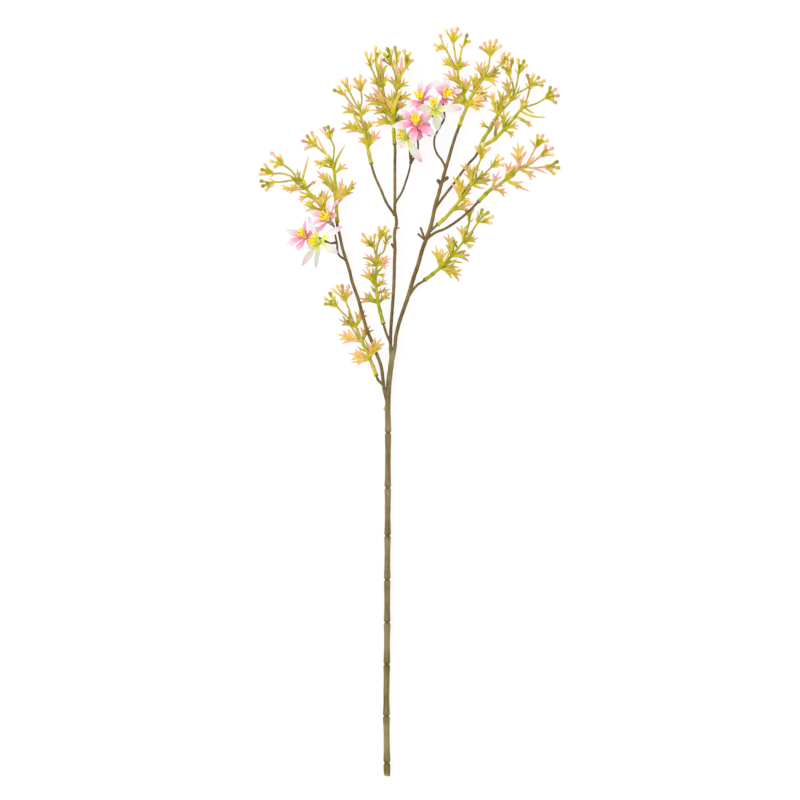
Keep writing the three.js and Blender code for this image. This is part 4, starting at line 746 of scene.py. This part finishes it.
# Flowers: the middle of each star, the way it faces, how its tuft nods, how rosy its six petals are and how
# far they roll, in degrees, and their tips.
FLOWERS = {
  "flower_left_front": {"at": [-67.5, 534.5, 28], "faces": [-0.2, 0.05, 0.97], "nods": [-0.9, 0],
    "white": True, "rosy": [1, 0.5, 0.5, 0.7, 0.1, 0.9], "rolls": [20, 15, 70, 45, 30, 40],
    "tips": [[-44.6, 549.2, 31], [-48.6, 523.2, 30], [-71.1, 508.4, 31], [-84.5, 510.5, 31], [-79, 528, 31],
    [-78, 559.4, 32]]},
  "flower_left_side": {"at": [-81, 540, 14], "faces": [-0.5, 0.05, 0.86], "nods": [-0.3, 0.5],
    "white": False, "rosy": [0.75, 0.5, 0.5, 0.6, 0.25, 0.1], "rolls": [40, 0, 0, 0, 25, 30],
    "tips": [[-81, 558.5, 17], [-66, 549, 12], [-70, 529, 10], [-90, 526.5, 11], [-101, 531.5, 16],
    [-101.6, 547.3, 18]]},
  "flower_left_top": {"at": [-58, 556, 19.5], "faces": [-0.45, 0.45, 0.77], "nods": [-0.1, 0.1],
    "white": False, "rosy": [0.35, 0.6, 0.6, 0.7, 0.35, 0.3], "rolls": [20, 15, 0, 0, 10, 30],
    "tips": [[-57, 576.8, 24], [-48, 577.5, 19], [-50.5, 563, 18.5], [-69, 545.5, 17], [-75, 552.5, 21],
    [-77.7, 566, 23]]},
  "flower_centre_front": {"at": [28.5, 651, 29], "faces": [-0.06, 0.1, 0.99], "nods": [0.1, 0.8],
    "white": False, "rosy": [0.4, 0.55, 0.4, 0.25, 0.1, 0.35], "rolls": [30, 40, 10, 10, 0, 30],
    "tips": [[27, 669, 34], [44, 665.5, 32], [48.4, 640.3, 31], [25, 629.4, 31], [4.5, 649, 32],
    [13.2, 666.3, 33]]},
  "flower_centre_back": {"at": [19, 639, 19], "faces": [-0.35, 0.2, 0.91], "nods": [-0.3, 0.1],
    "white": True, "rosy": [0.1, 0.1, 0.1, 0.8, 1, 0.5], "rolls": [40, 30, 30, 20, 15, 30],
    "tips": [[17, 655, 17], [10, 650, 19], [8.5, 640, 22], [13.5, 628.5, 22], [35, 614, 18.5],
    [25, 646, 15.5]]},
  "flower_centre_side": {"at": [33, 648, 13], "faces": [0.3, 0.15, 0.94], "nods": [-0.5, 0.7],
    "white": False, "rosy": [0.8, 0.8, 0.9, 0.9, 0.8, 0.8], "rolls": [0, 0, 40, 30, 0, 0],
    "tips": [[34, 660, 12], [43.6, 653, 11.5], [44.5, 640.5, 10.5], [32, 636.5, 9.6], [23, 644, 9.8],
    [24, 655, 12]]},
  "flower_right_front": {"at": [47.4, 667, 22], "faces": [0, 0.1, 0.99], "nods": [-0.1, 1], "white": True,
    "rosy": [0.5, 0.8, 0.1, 0, 0.1, 0.1], "rolls": [30, 5, 40, 10, 30, 30], "tips": [[45, 680, 28],
    [75.2, 667.2, 24], [57.5, 658.5, 15.5], [51, 645.5, 21], [34, 653, 21.5], [31, 668.5, 23]]},
  "flower_right_side": {"at": [34, 676, 13.5], "faces": [-0.2, 0.35, 0.92], "nods": [-0.1, 0.6],
    "white": False, "rosy": [0.15, 0.5, 0.4, 0.9, 0.45, 0.15], "rolls": [30, 25, 0, 0, 20, 0],
    "tips": [[34.5, 697.5, 17], [48, 696, 12.5], [46, 680, 9.5], [38, 666, 10], [28.5, 664.5, 14],
    [18.5, 669.8, 15]]},
  "flower_right_top": {"at": [57.3, 679, 14.5], "faces": [0.1, 0.35, 0.93], "nods": [0.3, 0.3],
    "white": False, "rosy": [0.1, 0.35, 0.2, 0.2, 0.4, 0.15], "rolls": [10, 10, 30, 30, 75, 25],
    "tips": [[60, 700.5, 19], [75.5, 686.5, 17], [65, 676, 7.5], [59.5, 671, 7.5], [50.5, 668.5, 11.4],
    [47.5, 696.5, 18]]},
}
CALYX_LONG = 7.0
CALYX_SIDES = 24
RIB = 0.05  # height of a calyx's ribs, to its radius
STEP = 0.75  # rim of a calyx to the middle of its star's thickness


def flower_frame(flower):
    """Middle of a star, the way it faces, and two directions across it."""
    middle = np.array(flower["at"], float)
    out = unit(np.array(flower["faces"], float))
    right = unit(np.cross([0, 1, 0], out))
    return middle, out, right, np.cross(out, right)


# Calyces: grey-green polyethylene cups, pushed on the prongs of the flower twigs. Each flares to its rim and
# has six shallow ribs, a socket below for the prong and one above for the peg that holds the star.
def calyx_parts(flower):
    """The radius goes up the rim's socket, over the rim, down the cup and into the foot's socket. Six ribs
    add up to RIB of it."""
    middle, out, _, over = flower_frame(flower)
    ways = np.array([-2.6, -0.3, 0, 0.05, -0.1, -0.5, -1.5, -3, -4.5, -6, -6.8, -7, -7, -6.8, -4.6])
    radii = np.array([1.18, 1.18, 1.3, 2.5, 2.78, 2.72, 2.42, 2.1, 1.95, 1.85, 1.8, 1.6, 1.3, 1.18, 1.18])
    ribs = np.cos(6 * around(CALYX_SIDES)) * ((ways < 0) & (radii > 1.7))[:, None]
    path = middle + out * (ways - STEP)[:, None]
    radius = radii[:, None] * (1 + RIB * ribs)
    rings = carried(path[None], radius[None], CALYX_SIDES, along=-out, up=over)
    return [(rings, {"ribs": ribs * 0.5 + 0.5, "down": (-ways / CALYX_LONG)[:, None]})]


def grained_plastic(name, scale, key, stops, strength, distance):
    """Polyethylene with a grain that is felt too. Its colour goes along the ramp with an attribute and with
    half the grain. Gives what finish_of gives."""
    material, shader, add = finish_of(name)
    place = add("TexCoord", output="Object")
    share = add("Attribute", output="Fac", attribute_name=key)
    grain = add("TexNoise", {"Vector": place, "Scale": scale, "Detail": 3})
    mixed = add("Math", {0: grain, 1: 0.5, 2: share}, operation="MULTIPLY_ADD")
    skin = add("ValToRGB", {"Fac": mixed}, stops)
    bump = add("Bump", {"Height": grain, "Strength": strength, "Distance": distance})
    plug(material, shader, {"Base Color": skin, "Normal": bump, "IOR": 1.5})
    return material, shader, add


cup, shader, add = grained_plastic("grey_green_polyethylene", 900, "down",
                              [(0.15, "#b4b88c"), (0.55, "#949a6c"), (1.0, "#7c7d4c")], 0.3, 0.0002)
ribs = add("Attribute", output="Fac", attribute_name="ribs")
rough = add("MapRange", {"Value": ribs, "To Min": 0.62, "To Max": 0.5})
plug(cup, shader, {"Roughness": rough})
for name, flower in FLOWERS.items():
    add_piece(name + "_cup", calyx_parts(flower), cup, "calyx", name + "_calyx")


# Stars: six petals cut in one piece from polyester satin, dyed from the middle outwards, and pressed hot so
# that each petal is cupped, keeled along its middle and veined. A hole in the middle takes the peg.
HOLE_R = 1.3  # hole in the middle
ROOT_R = 2.16  # where the petals part
ARCH = 0.4  # four times a petal's arch, to its length
CUPPING = 0.125  # how far a petal's edges stand up, to its half width
WAVE = 0.35  # how far its free edges wave
VEIN = 0.05  # height of its veins
KEEL = 0.28  # depth of the crease along its middle
CLOTH = 0.36  # thickness
HALF_WIDTHS = [[-0.06, 0.72], [0, 1.1], [0.12, 1.9], [0.3, 3.2], [0.48, 4.1], [0.62, 4.1], [0.78, 3.2],
               [0.9, 1.8], [0.96, 0.95], [1.0, 0.12]]
STAR_SEED = 701
WIDEST_SHARE = 1.2  # half of the widest turn between petals that counts, in radians


def star_parts(flower, seed):
    """Petal: root + reach s + normal (arch |reach| s (1 - s)), with the width of HALF_WIDTHS at s. Across it,
    v from 1 to -1 and back, the cloth lifts with v squared at its edges, dips at the keel, and has
    six veins. It keeps within half the turn to the next petal, and rolls round its length by its angle."""
    middle, out, right, over = flower_frame(flower)
    tips = np.array(flower["tips"], float)
    turn = np.arctan2((tips - middle) @ over, (tips - middle) @ right)
    order = np.argsort(turn)
    tips, turn, rosy = tips[order], turn[order], np.array(flower["rosy"])[order]
    rolls = np.radians(flower["rolls"])[order]
    gap = np.diff(np.append(turn, turn[0] + 2 * np.pi)) / 2
    shares = np.minimum(np.stack([np.roll(gap, 1), gap], axis=1), WIDEST_SHARE)
    spoke = right * np.cos(turn)[:, None] + over * np.sin(turn)[:, None]
    root = middle + spoke * ROOT_R
    reach = tips - root
    side = unit(np.cross(reach, out))
    normal = unit(np.cross(side, reach))
    s = 1 - (1 - np.linspace(0, 1, 30)) ** 1.3
    arch = ARCH * np.linalg.norm(reach, axis=1)[:, None, None] * (s * (1 - s))[:, None]
    line = root[:, None] + reach[:, None] * s[:, None] + normal[:, None] * arch
    line = np.concatenate([(middle + spoke * HOLE_R)[:, None], line], axis=1)
    s = np.concatenate([[-0.06], s])
    half = np.interp(s, *np.array(HALF_WIDTHS).T)
    half = np.convolve(np.pad(half, 1, mode="edge"), [0.25, 0.5, 0.25], mode="valid")[:, None]
    out_from_middle = ((line - middle) * spoke[:, None]).sum(axis=-1)
    v = np.concatenate([np.linspace(1, -1, 13), np.linspace(-1, 1, 13)])
    face = np.repeat([1, -1], 13)
    phase = np.random.default_rng(seed).uniform(0, 2 * np.pi, (6, 1, 1))
    free = np.clip(s, 0, 1)[:, None]
    wave = WAVE * v ** 2 * free * np.sin(9 * free + phase + 2 * (v > 0))
    veins = VEIN * np.cos(6 * np.pi * v) * np.sin(np.pi * free)
    keel = KEEL * np.exp(-(v / 0.14) ** 2) * np.sin(np.pi * free) ** 0.5
    room = np.tan(shares)[:, None, (v < 0).astype(int)] * out_from_middle[..., None]
    half = np.minimum(half, room)
    high = CUPPING * half * (v ** 2 - 0.3) + wave + veins - keel + face * CLOTH / 2
    roll = rolls[:, None, None] * np.clip(free / 0.35, 0, 1) ** 2
    flat = half * v * np.cos(roll) - high * np.sin(roll)
    high = half * v * np.sin(roll) + high * np.cos(roll)
    rings = line[:, :, None] + side[:, None, None] * flat[..., None] + normal[:, None, None] * high[..., None]
    return [(rings, {"along": free, "veins": v * np.ones_like(free), "rosy": rosy[:, None, None]})]


# Satin has a soft sheen and threads 0.3 mm apart. The dye runs in streaks from the middle, so the veins show
# as slightly deeper lines. The light goes 1 mm deep into the cloth, and into the plastic of the tufts.
SCATTER = {"Subsurface Radius": (1, 1, 1), "Subsurface Scale": 0.001}


def petal_satin(name, stops, tip_stops):
    """Dyed satin: the ramp runs from the ring to the tip. Rosy petals stay nearer its start, or take a pink
    tip where there are stops for it."""
    material, shader, add = finish_of(name)
    place = add("TexCoord", output="Object")
    along, veins, rosy = (add("Attribute", output="Fac", attribute_name=key)
                          for key in ("along", "veins", "rosy"))
    clouds = add("TexNoise", {"Vector": place, "Scale": 220, "Detail": 3})
    threads = add("TexNoise", {"Vector": place, "Scale": 2600, "Detail": 2})
    wide = add("Math", {0: veins, 1: 19}, operation="MULTIPLY")
    lines = add("Math", {0: wide}, operation="COSINE")
    ragged = add("MapRange", {"Value": clouds, "From Min": 0.3, "From Max": 0.7,
                              "To Min": -0.09, "To Max": 0.09})
    streaked = add("Math", {0: lines, 1: -0.025, 2: ragged}, operation="MULTIPLY_ADD")
    reach = add("Math", {0: along, 1: streaked}, operation="ADD")
    holding = add("MapRange", {"Value": rosy, "To Min": 1, "To Max": 0.3})
    held = add("Math", {0: reach, 1: holding}, operation="MULTIPLY")
    colour = add("ValToRGB", {"Fac": reach if tip_stops else held}, stops)
    if tip_stops:
        tipped = add("ValToRGB", {"Fac": reach}, tip_stops)
        colour = add("Mix", {0: rosy, 6: colour, 7: tipped}, output=2, data_type="RGBA")
    bump = add("Bump", {"Height": lines, "Strength": 0.3, "Distance": 0.0001})
    weave = add("Bump", {"Height": threads, "Strength": 0.2, "Distance": 0.0001, "Normal": bump})
    plug(material, shader, {"Base Color": colour, "Normal": weave, "Roughness": 0.7, "Sheen Weight": 0.15,
                            "Specular IOR Level": 0.25, **SCATTER, "Subsurface Weight": 0.8})
    return material


pink_satin = petal_satin("pink_polyester_satin",
                         [(0.0, "#ff6a8c"), (0.12, "#ff88a8"), (0.28, "#ffa4c2"), (0.44, "#fdbcd4"),
                          (0.58, "#f2d4de"), (0.74, "#e0e2dc"), (1.0, "#dce0d8")], ())
green_middle = [(0.0, "#cfe02c"), (0.14, "#dbe94c"), (0.26, "#dfe796"), (0.38, "#e0e4d2")]
white_satin = petal_satin("white_polyester_satin", [*green_middle, (1.0, "#dce0d8")],
                          [*green_middle, (0.68, "#e6dbdb"), (0.84, "#f8bed2"), (0.97, "#fc94be")])
for number, (name, flower) in enumerate(FLOWERS.items()):
    satin, slot = (white_satin, "white_petal") if flower["white"] else (pink_satin, "pink_petal")
    add_piece(name + "_star", star_parts(flower, STAR_SEED + number), satin, slot, name + "_petals")


# Stamens: a yellow polyethylene tuft, moulded on the peg that goes through the star into the calyx. Seven
# tall threads stand on its flange and five short ones inside them, each with a long golden head.
PETAL = 0.66  # room that the star's cloth takes under the flange
STAMEN_LONG = 11.0
STAMENS = 7
SHORT_STAMENS = 5
TALL_RING = 1.3  # how far from the middle they stand
SHORT_RING = 0.6
FLANGE = 0.4  # how far their feet are above the flange's underside
RIM_DEEP = 2.6  # depth of the calyx's socket for the peg
TUFT_SEED = 501


def tuft_parts(flower, seed):
    """A thread: foot + way s + aside (0.5 s^2 - 0.25 s), where aside is the part of its way across the
    star's. Its radius is 0.45, swelling to 1.18 in the head from s 0.56 to 1. The peg's goes from 0.75 in the
    calyx to 1.75 at the flange, and closes in a low dome."""
    middle, out, right, over = flower_frame(flower)
    draw = draws(seed)
    extra = np.random.default_rng(seed)
    under = PETAL / 2 + GAP
    nods = np.array([*flower["nods"], 0])
    feet, ways = [], []
    for k in range(STAMENS):
        turn = 2 * np.pi * k / STAMENS
        lean = 0.2 + 0.3 * next(draw)
        sideways = (right * np.cos(turn + 0.4 * next(draw)) + over * np.sin(turn + 0.4 * next(draw))) * lean
        feet.append((right * np.cos(turn) + over * np.sin(turn)) * TALL_RING)
        ways.append(unit(out + sideways + nods) * STAMEN_LONG * (0.8 + 0.2 * next(draw)))
    for k in range(SHORT_STAMENS):
        turn = 2 * np.pi * k / SHORT_STAMENS + 0.4
        spoke = right * np.cos(turn) + over * np.sin(turn)
        feet.append(spoke * SHORT_RING)
        ways.append(unit(out + spoke * extra.uniform(0.05, 0.3) + nods) * extra.uniform(6, 8.5))
    feet, ways = middle + out * (under + FLANGE) + feet, np.array(ways)
    s = np.array([0, 0.2, 0.4, 0.56, 0.61, 0.67, 0.74, 0.82, 0.91, 0.97, 1.0, 1.01])
    r = np.array([0.52, 0.48, 0.45, 0.45, 0.7, 0.98, 1.14, 1.18, 1.06, 0.75, 0.4, 0.1])
    aside = ways - (ways @ out)[:, None] * out
    path = feet[:, None] + ways[:, None] * s[:, None] + aside[:, None] * (0.5 * s ** 2 - 0.25 * s)[:, None]
    threads = carried(path, np.broadcast_to(r, (len(feet), len(s))), 10, up=over)
    low = GAP - RIM_DEEP - STEP
    heights = [low, low + 0.3, under - 0.02, under, under + 0.1, under + 0.5, under + 0.6, under + 0.75]
    peg = turned(middle, out, heights, [0.55, 0.75, 0.75, 1.6, 1.75, 1.75, 1.5, 0.6], 20, up=over)
    return [(threads, {"ripe": np.clip((s - 0.5) * 6, 0, 0.64)[:, None]}), (peg, {"ripe": 0.4})]


yellow, shader, _ = grained_plastic("golden_polyethylene", 1100, "ripe",
                                 [(0.15, "#fdf6b8"), (0.6, "#fff27c"), (0.84, "#fff038"), (0.95, "#ffe61e"),
                                  (1.0, "#f6b622")], 0.5, 0.0003)
plug(yellow, shader, {"Roughness": 0.5, "Specular IOR Level": 0.2, **SCATTER, "Subsurface Weight": 0.6})
for number, (name, flower) in enumerate(FLOWERS.items()):
    add_piece(name + "_tuft", tuft_parts(flower, TUFT_SEED + number), yellow, "stamen", name + "_stamens")


# Branches: three brown mouldings, each plugged into a socket of the trunk by a peg. They carry the twigs,
# which are fused to them and end in pegs too, and short blunt stubs where the maker left a sprig off.
BRANCHES = {
  "branch_left": {
    "from": "left", "radius": [1.75, 1.72, 1.45], "route": [[-3.7, 394.5, 10], [-6, 411, 9.5],
     [-10.8, 424, 9], [-15.4, 436, 9], [-20, 447, 9], [-24.6, 463, 9], [-29.2, 479, 9], [-35.3, 497, 9],
     [-37.4, 506, 9], [-40.5, 516, 9], [-44.6, 529, 9], [-47.6, 543, 9]], "ends": "sprig_left_top",
    "twigs": [
     {"route": [[-3.4, 392.5, 9.8], [-6.5, 394.4, 9]], "ends": "sprig_left_low"},
     {"route": [[-41, 517, 9], [-48, 522, 10.5], [-50.2, 534.4, 12], [-52, 543, 13.5]],
      "ends": "flower_left_top"},
     {"route": [[-50.2, 534.4, 12], [-58, 533.5, 13], [-64, 533.8, 15]], "ends": "flower_left_front"},
     {"route": [[-58, 533.5, 13], [-66, 538.6, 9.6], [-72, 539.6, 8.2]], "ends": "flower_left_side"},
    ],
  },
  "branch_centre": {
    "from": "centre", "radius": [1.7, 1.65, 1.4], "route": [[3.6, 440, 8.6], [5, 465, 9], [6.3, 482, 9],
     [7, 496, 9], [7.5, 516, 9], [8, 527, 9], [8, 547, 9], [9.3, 552, 9], [9.2, 559, 9], [8, 565, 9],
     [7.9, 576, 9], [7.9, 596, 9], [7.9, 616, 9]], "ends": "sprig_centre_top",
    "twigs": [
     {"route": [[3.6, 434.5, 8.6], [0.3, 441, 10]], "ends": "sprig_left_inner"},
     {"route": [[8, 527, 9], [4.2, 533.8, 9.4]], "blunt": 1.15},
     {"route": [[9.2, 548.6, 9], [12.6, 549.4, 9.4]], "blunt": 0.7},
     {"route": [[7.9, 562, 9], [-0.3, 574, 9], [-6.4, 588.2, 9], [-11.5, 599.4, 9]],
      "ends": "sprig_centre_left"},
     {"route": [[7.9, 574, 9], [15, 585.2, 9.5], [19.1, 596.4, 10], [22.2, 606.6, 10], [23.4, 613.7, 10.5],
      [22.9, 621, 11], [22.8, 628, 11.2]], "ends": "flower_centre_back"},
     {"route": [[23.4, 613.7, 10.5], [25.4, 624, 12], [27, 634, 14.5]], "ends": "flower_centre_front"},
     {"route": [[23.4, 613.7, 10.5], [27.5, 620, 9.6], [30.8, 628, 8.4]], "ends": "flower_centre_side"},
    ],
  },
  "branch_right": {
    "from": "right", "radius": [1.8, 2.1, 2.05, 1.75, 1.45], "route": [[9, 441, 8.6], [11.8, 453, 9],
     [15.7, 465, 9], [19.7, 476.4, 9], [22.8, 486, 9], [26.9, 500, 9], [31, 512, 9], [35, 526.4, 9],
     [39.1, 537.6, 9], [43.2, 549, 9], [45.3, 557, 9], [48.5, 572.4, 9], [51.9, 584, 9], [54.2, 592.5, 9],
     [58.3, 607, 9], [61.7, 618.3, 9], [65, 630, 9], [68.6, 641.3, 9]], "ends": "sprig_right_top",
    "twigs": [
     {"route": [[19.7, 476.4, 9], [25.4, 486.4, 8.6], [31, 492.7, 8]], "ends": "sprig_right_low"},
     {"route": [[37.6, 538.5, 9], [33.4, 550, 10.5]], "blunt": 1.1},
     {"route": [[37.6, 537.5, 9], [30.5, 543.8, 7.5]], "blunt": 1.1},
     {"route": [[39.1, 538, 9], [48.8, 544.7, 9], [57.4, 548.1, 9.5], [66.1, 553.3, 10],
      [74.7, 559.6, 10.5], [83.3, 567, 11]], "ends": "sprig_right_far"},
     {"route": [[41.5, 544.5, 9], [46.5, 549, 10]], "ends": "sprig_right_inner"},
     {"route": [[47.5, 568, 9], [54.8, 578, 8.5], [60.6, 585.6, 8], [67.4, 594.2, 8], [74.3, 604, 8],
      [81.8, 613.7, 8]], "ends": "sprig_right_outer"},
     {"route": [[53.8, 591, 9], [50.5, 598, 10.5]], "blunt": 2.0},
     {"route": [[54.6, 594, 9], [61.4, 600.5, 10.5]], "blunt": 2.0},
     {"route": [[58.8, 609, 9], [54.8, 617, 10], [50.2, 623, 10.5], [47.6, 630, 11], [47.9, 640.7, 11],
      [51.4, 648, 11.5], [49.5, 658, 12.5]], "ends": "flower_right_front"},
     {"route": [[51.4, 648, 11.5], [57.5, 660, 9.5], [57.2, 666, 8.6]], "ends": "flower_right_top"},
     {"route": [[49.5, 658, 12.5], [41.5, 664.5, 8.4]], "ends": "flower_right_side"},
    ],
  },
}
TWIG_R = [1.4, 1.2]  # leaf twig at its root and at its sprig
PRONG_R = [1.15, 0.85]  # flower twig at its root and at its calyx
LEAD = 2.4  # straight stretch of a twig before its sprig or calyx
PEG_R = 0.75
PEG_DEEP = 5.0  # how deep a peg goes into a sleeve or into the trunk
PRONG_DEEP = 2.6  # how deep a prong goes into the foot of a calyx


def seat(name):
    """Mouth and direction of what a twig ends in: a sprig's sleeve, or a calyx's foot."""
    if name in SPRIGS:
        points = stem_points(SPRIGS[name][0])
        return points[0], unit(points[1] - points[0])
    middle, out = flower_frame(FLOWERS[name])[:2]
    return middle - out * (CALYX_LONG + STEP), out


def twig_part(route, radii, thin, flare):
    """A round section along a smooth route. Its radius goes evenly between radii, is 1 + flare e^-(d/2.2)^2
    times as much at a distance d from its root, and has soft swellings every 9 mm or so."""
    path, at = smooth(route, 0.8)
    d = np.concatenate([[0], np.cumsum(np.linalg.norm(np.diff(path, axis=0), axis=1))])
    radius = np.interp(at, np.linspace(0, len(route) - 1, len(radii)), radii)
    radius = radius * (1 + flare * np.exp(-(d / 2.2) ** 2))
    radius = radius * (1 + 0.035 * np.sin(d * 0.7 + route[0][0]) + 0.02 * np.sin(d * 1.9))
    return carried(path[None], radius[None], 14), {"groove": 0, "cut": 0, "thin": thin}


def peg_part(place, way, deep):
    """The thin end of a twig, from 1 mm before a place to its depth past it, with its edge rounded off."""
    ways = [-1, deep - 0.3, deep - 0.05, deep]
    rings = turned(place, way, ways, [PEG_R, PEG_R, PEG_R - 0.15, PEG_R - 0.4], 10)
    return rings, {"thin": 0.5}


def branch_parts(branch):
    """The branch from its peg in the trunk to its tip in a sprig, then its twigs. A blunt stub swells to the
    shape of a bud, as far as its own radius lets it."""
    mouth, outward = stub_seat(branch["from"])[1:]
    end, inward = seat(branch["ends"])
    route = [mouth + outward * GAP, *branch["route"], end - inward * LEAD, end - inward * GAP]
    parts = [twig_part(np.array(route, float), branch["radius"], 0.0, 0.12),
             peg_part(end, inward, PEG_DEEP), peg_part(mouth, -outward, PEG_DEEP)]
    for twig in branch["twigs"]:
        route = np.array(twig["route"], float)
        if "blunt" in twig:
            shares = [0, 0.15, 0.35, 0.5, 0.62, 0.74, 0.86, 0.94, 0.985, 1]
            radii = np.minimum([1.4, 1.2, 1.2, 1.5, 1.8, 1.95, 1.8, 1.4, 0.8, 0.2], twig["blunt"])
            rings = turned(route[0], route[1] - route[0], shares, radii, 12)
            parts.append((rings, {"thin": 0.35}))
            continue
        end, inward = seat(twig["ends"])
        route = np.vstack([route, end - inward * LEAD, end - inward * GAP])
        leafy = twig["ends"] in SPRIGS
        parts += [twig_part(route, TWIG_R if leafy else PRONG_R, 0.25 if leafy else 0.7, 0.45),
                  peg_part(end, inward, PEG_DEEP if leafy else PRONG_DEEP)]
    return parts


brown_polyethylene = stem_plastic("brown_polyethylene", "#5e491a", "#7a622e", "#957d40")
for name, branch in BRANCHES.items():
    add_piece(name + "_moulding", branch_parts(branch), brown_polyethylene, "twig", name)
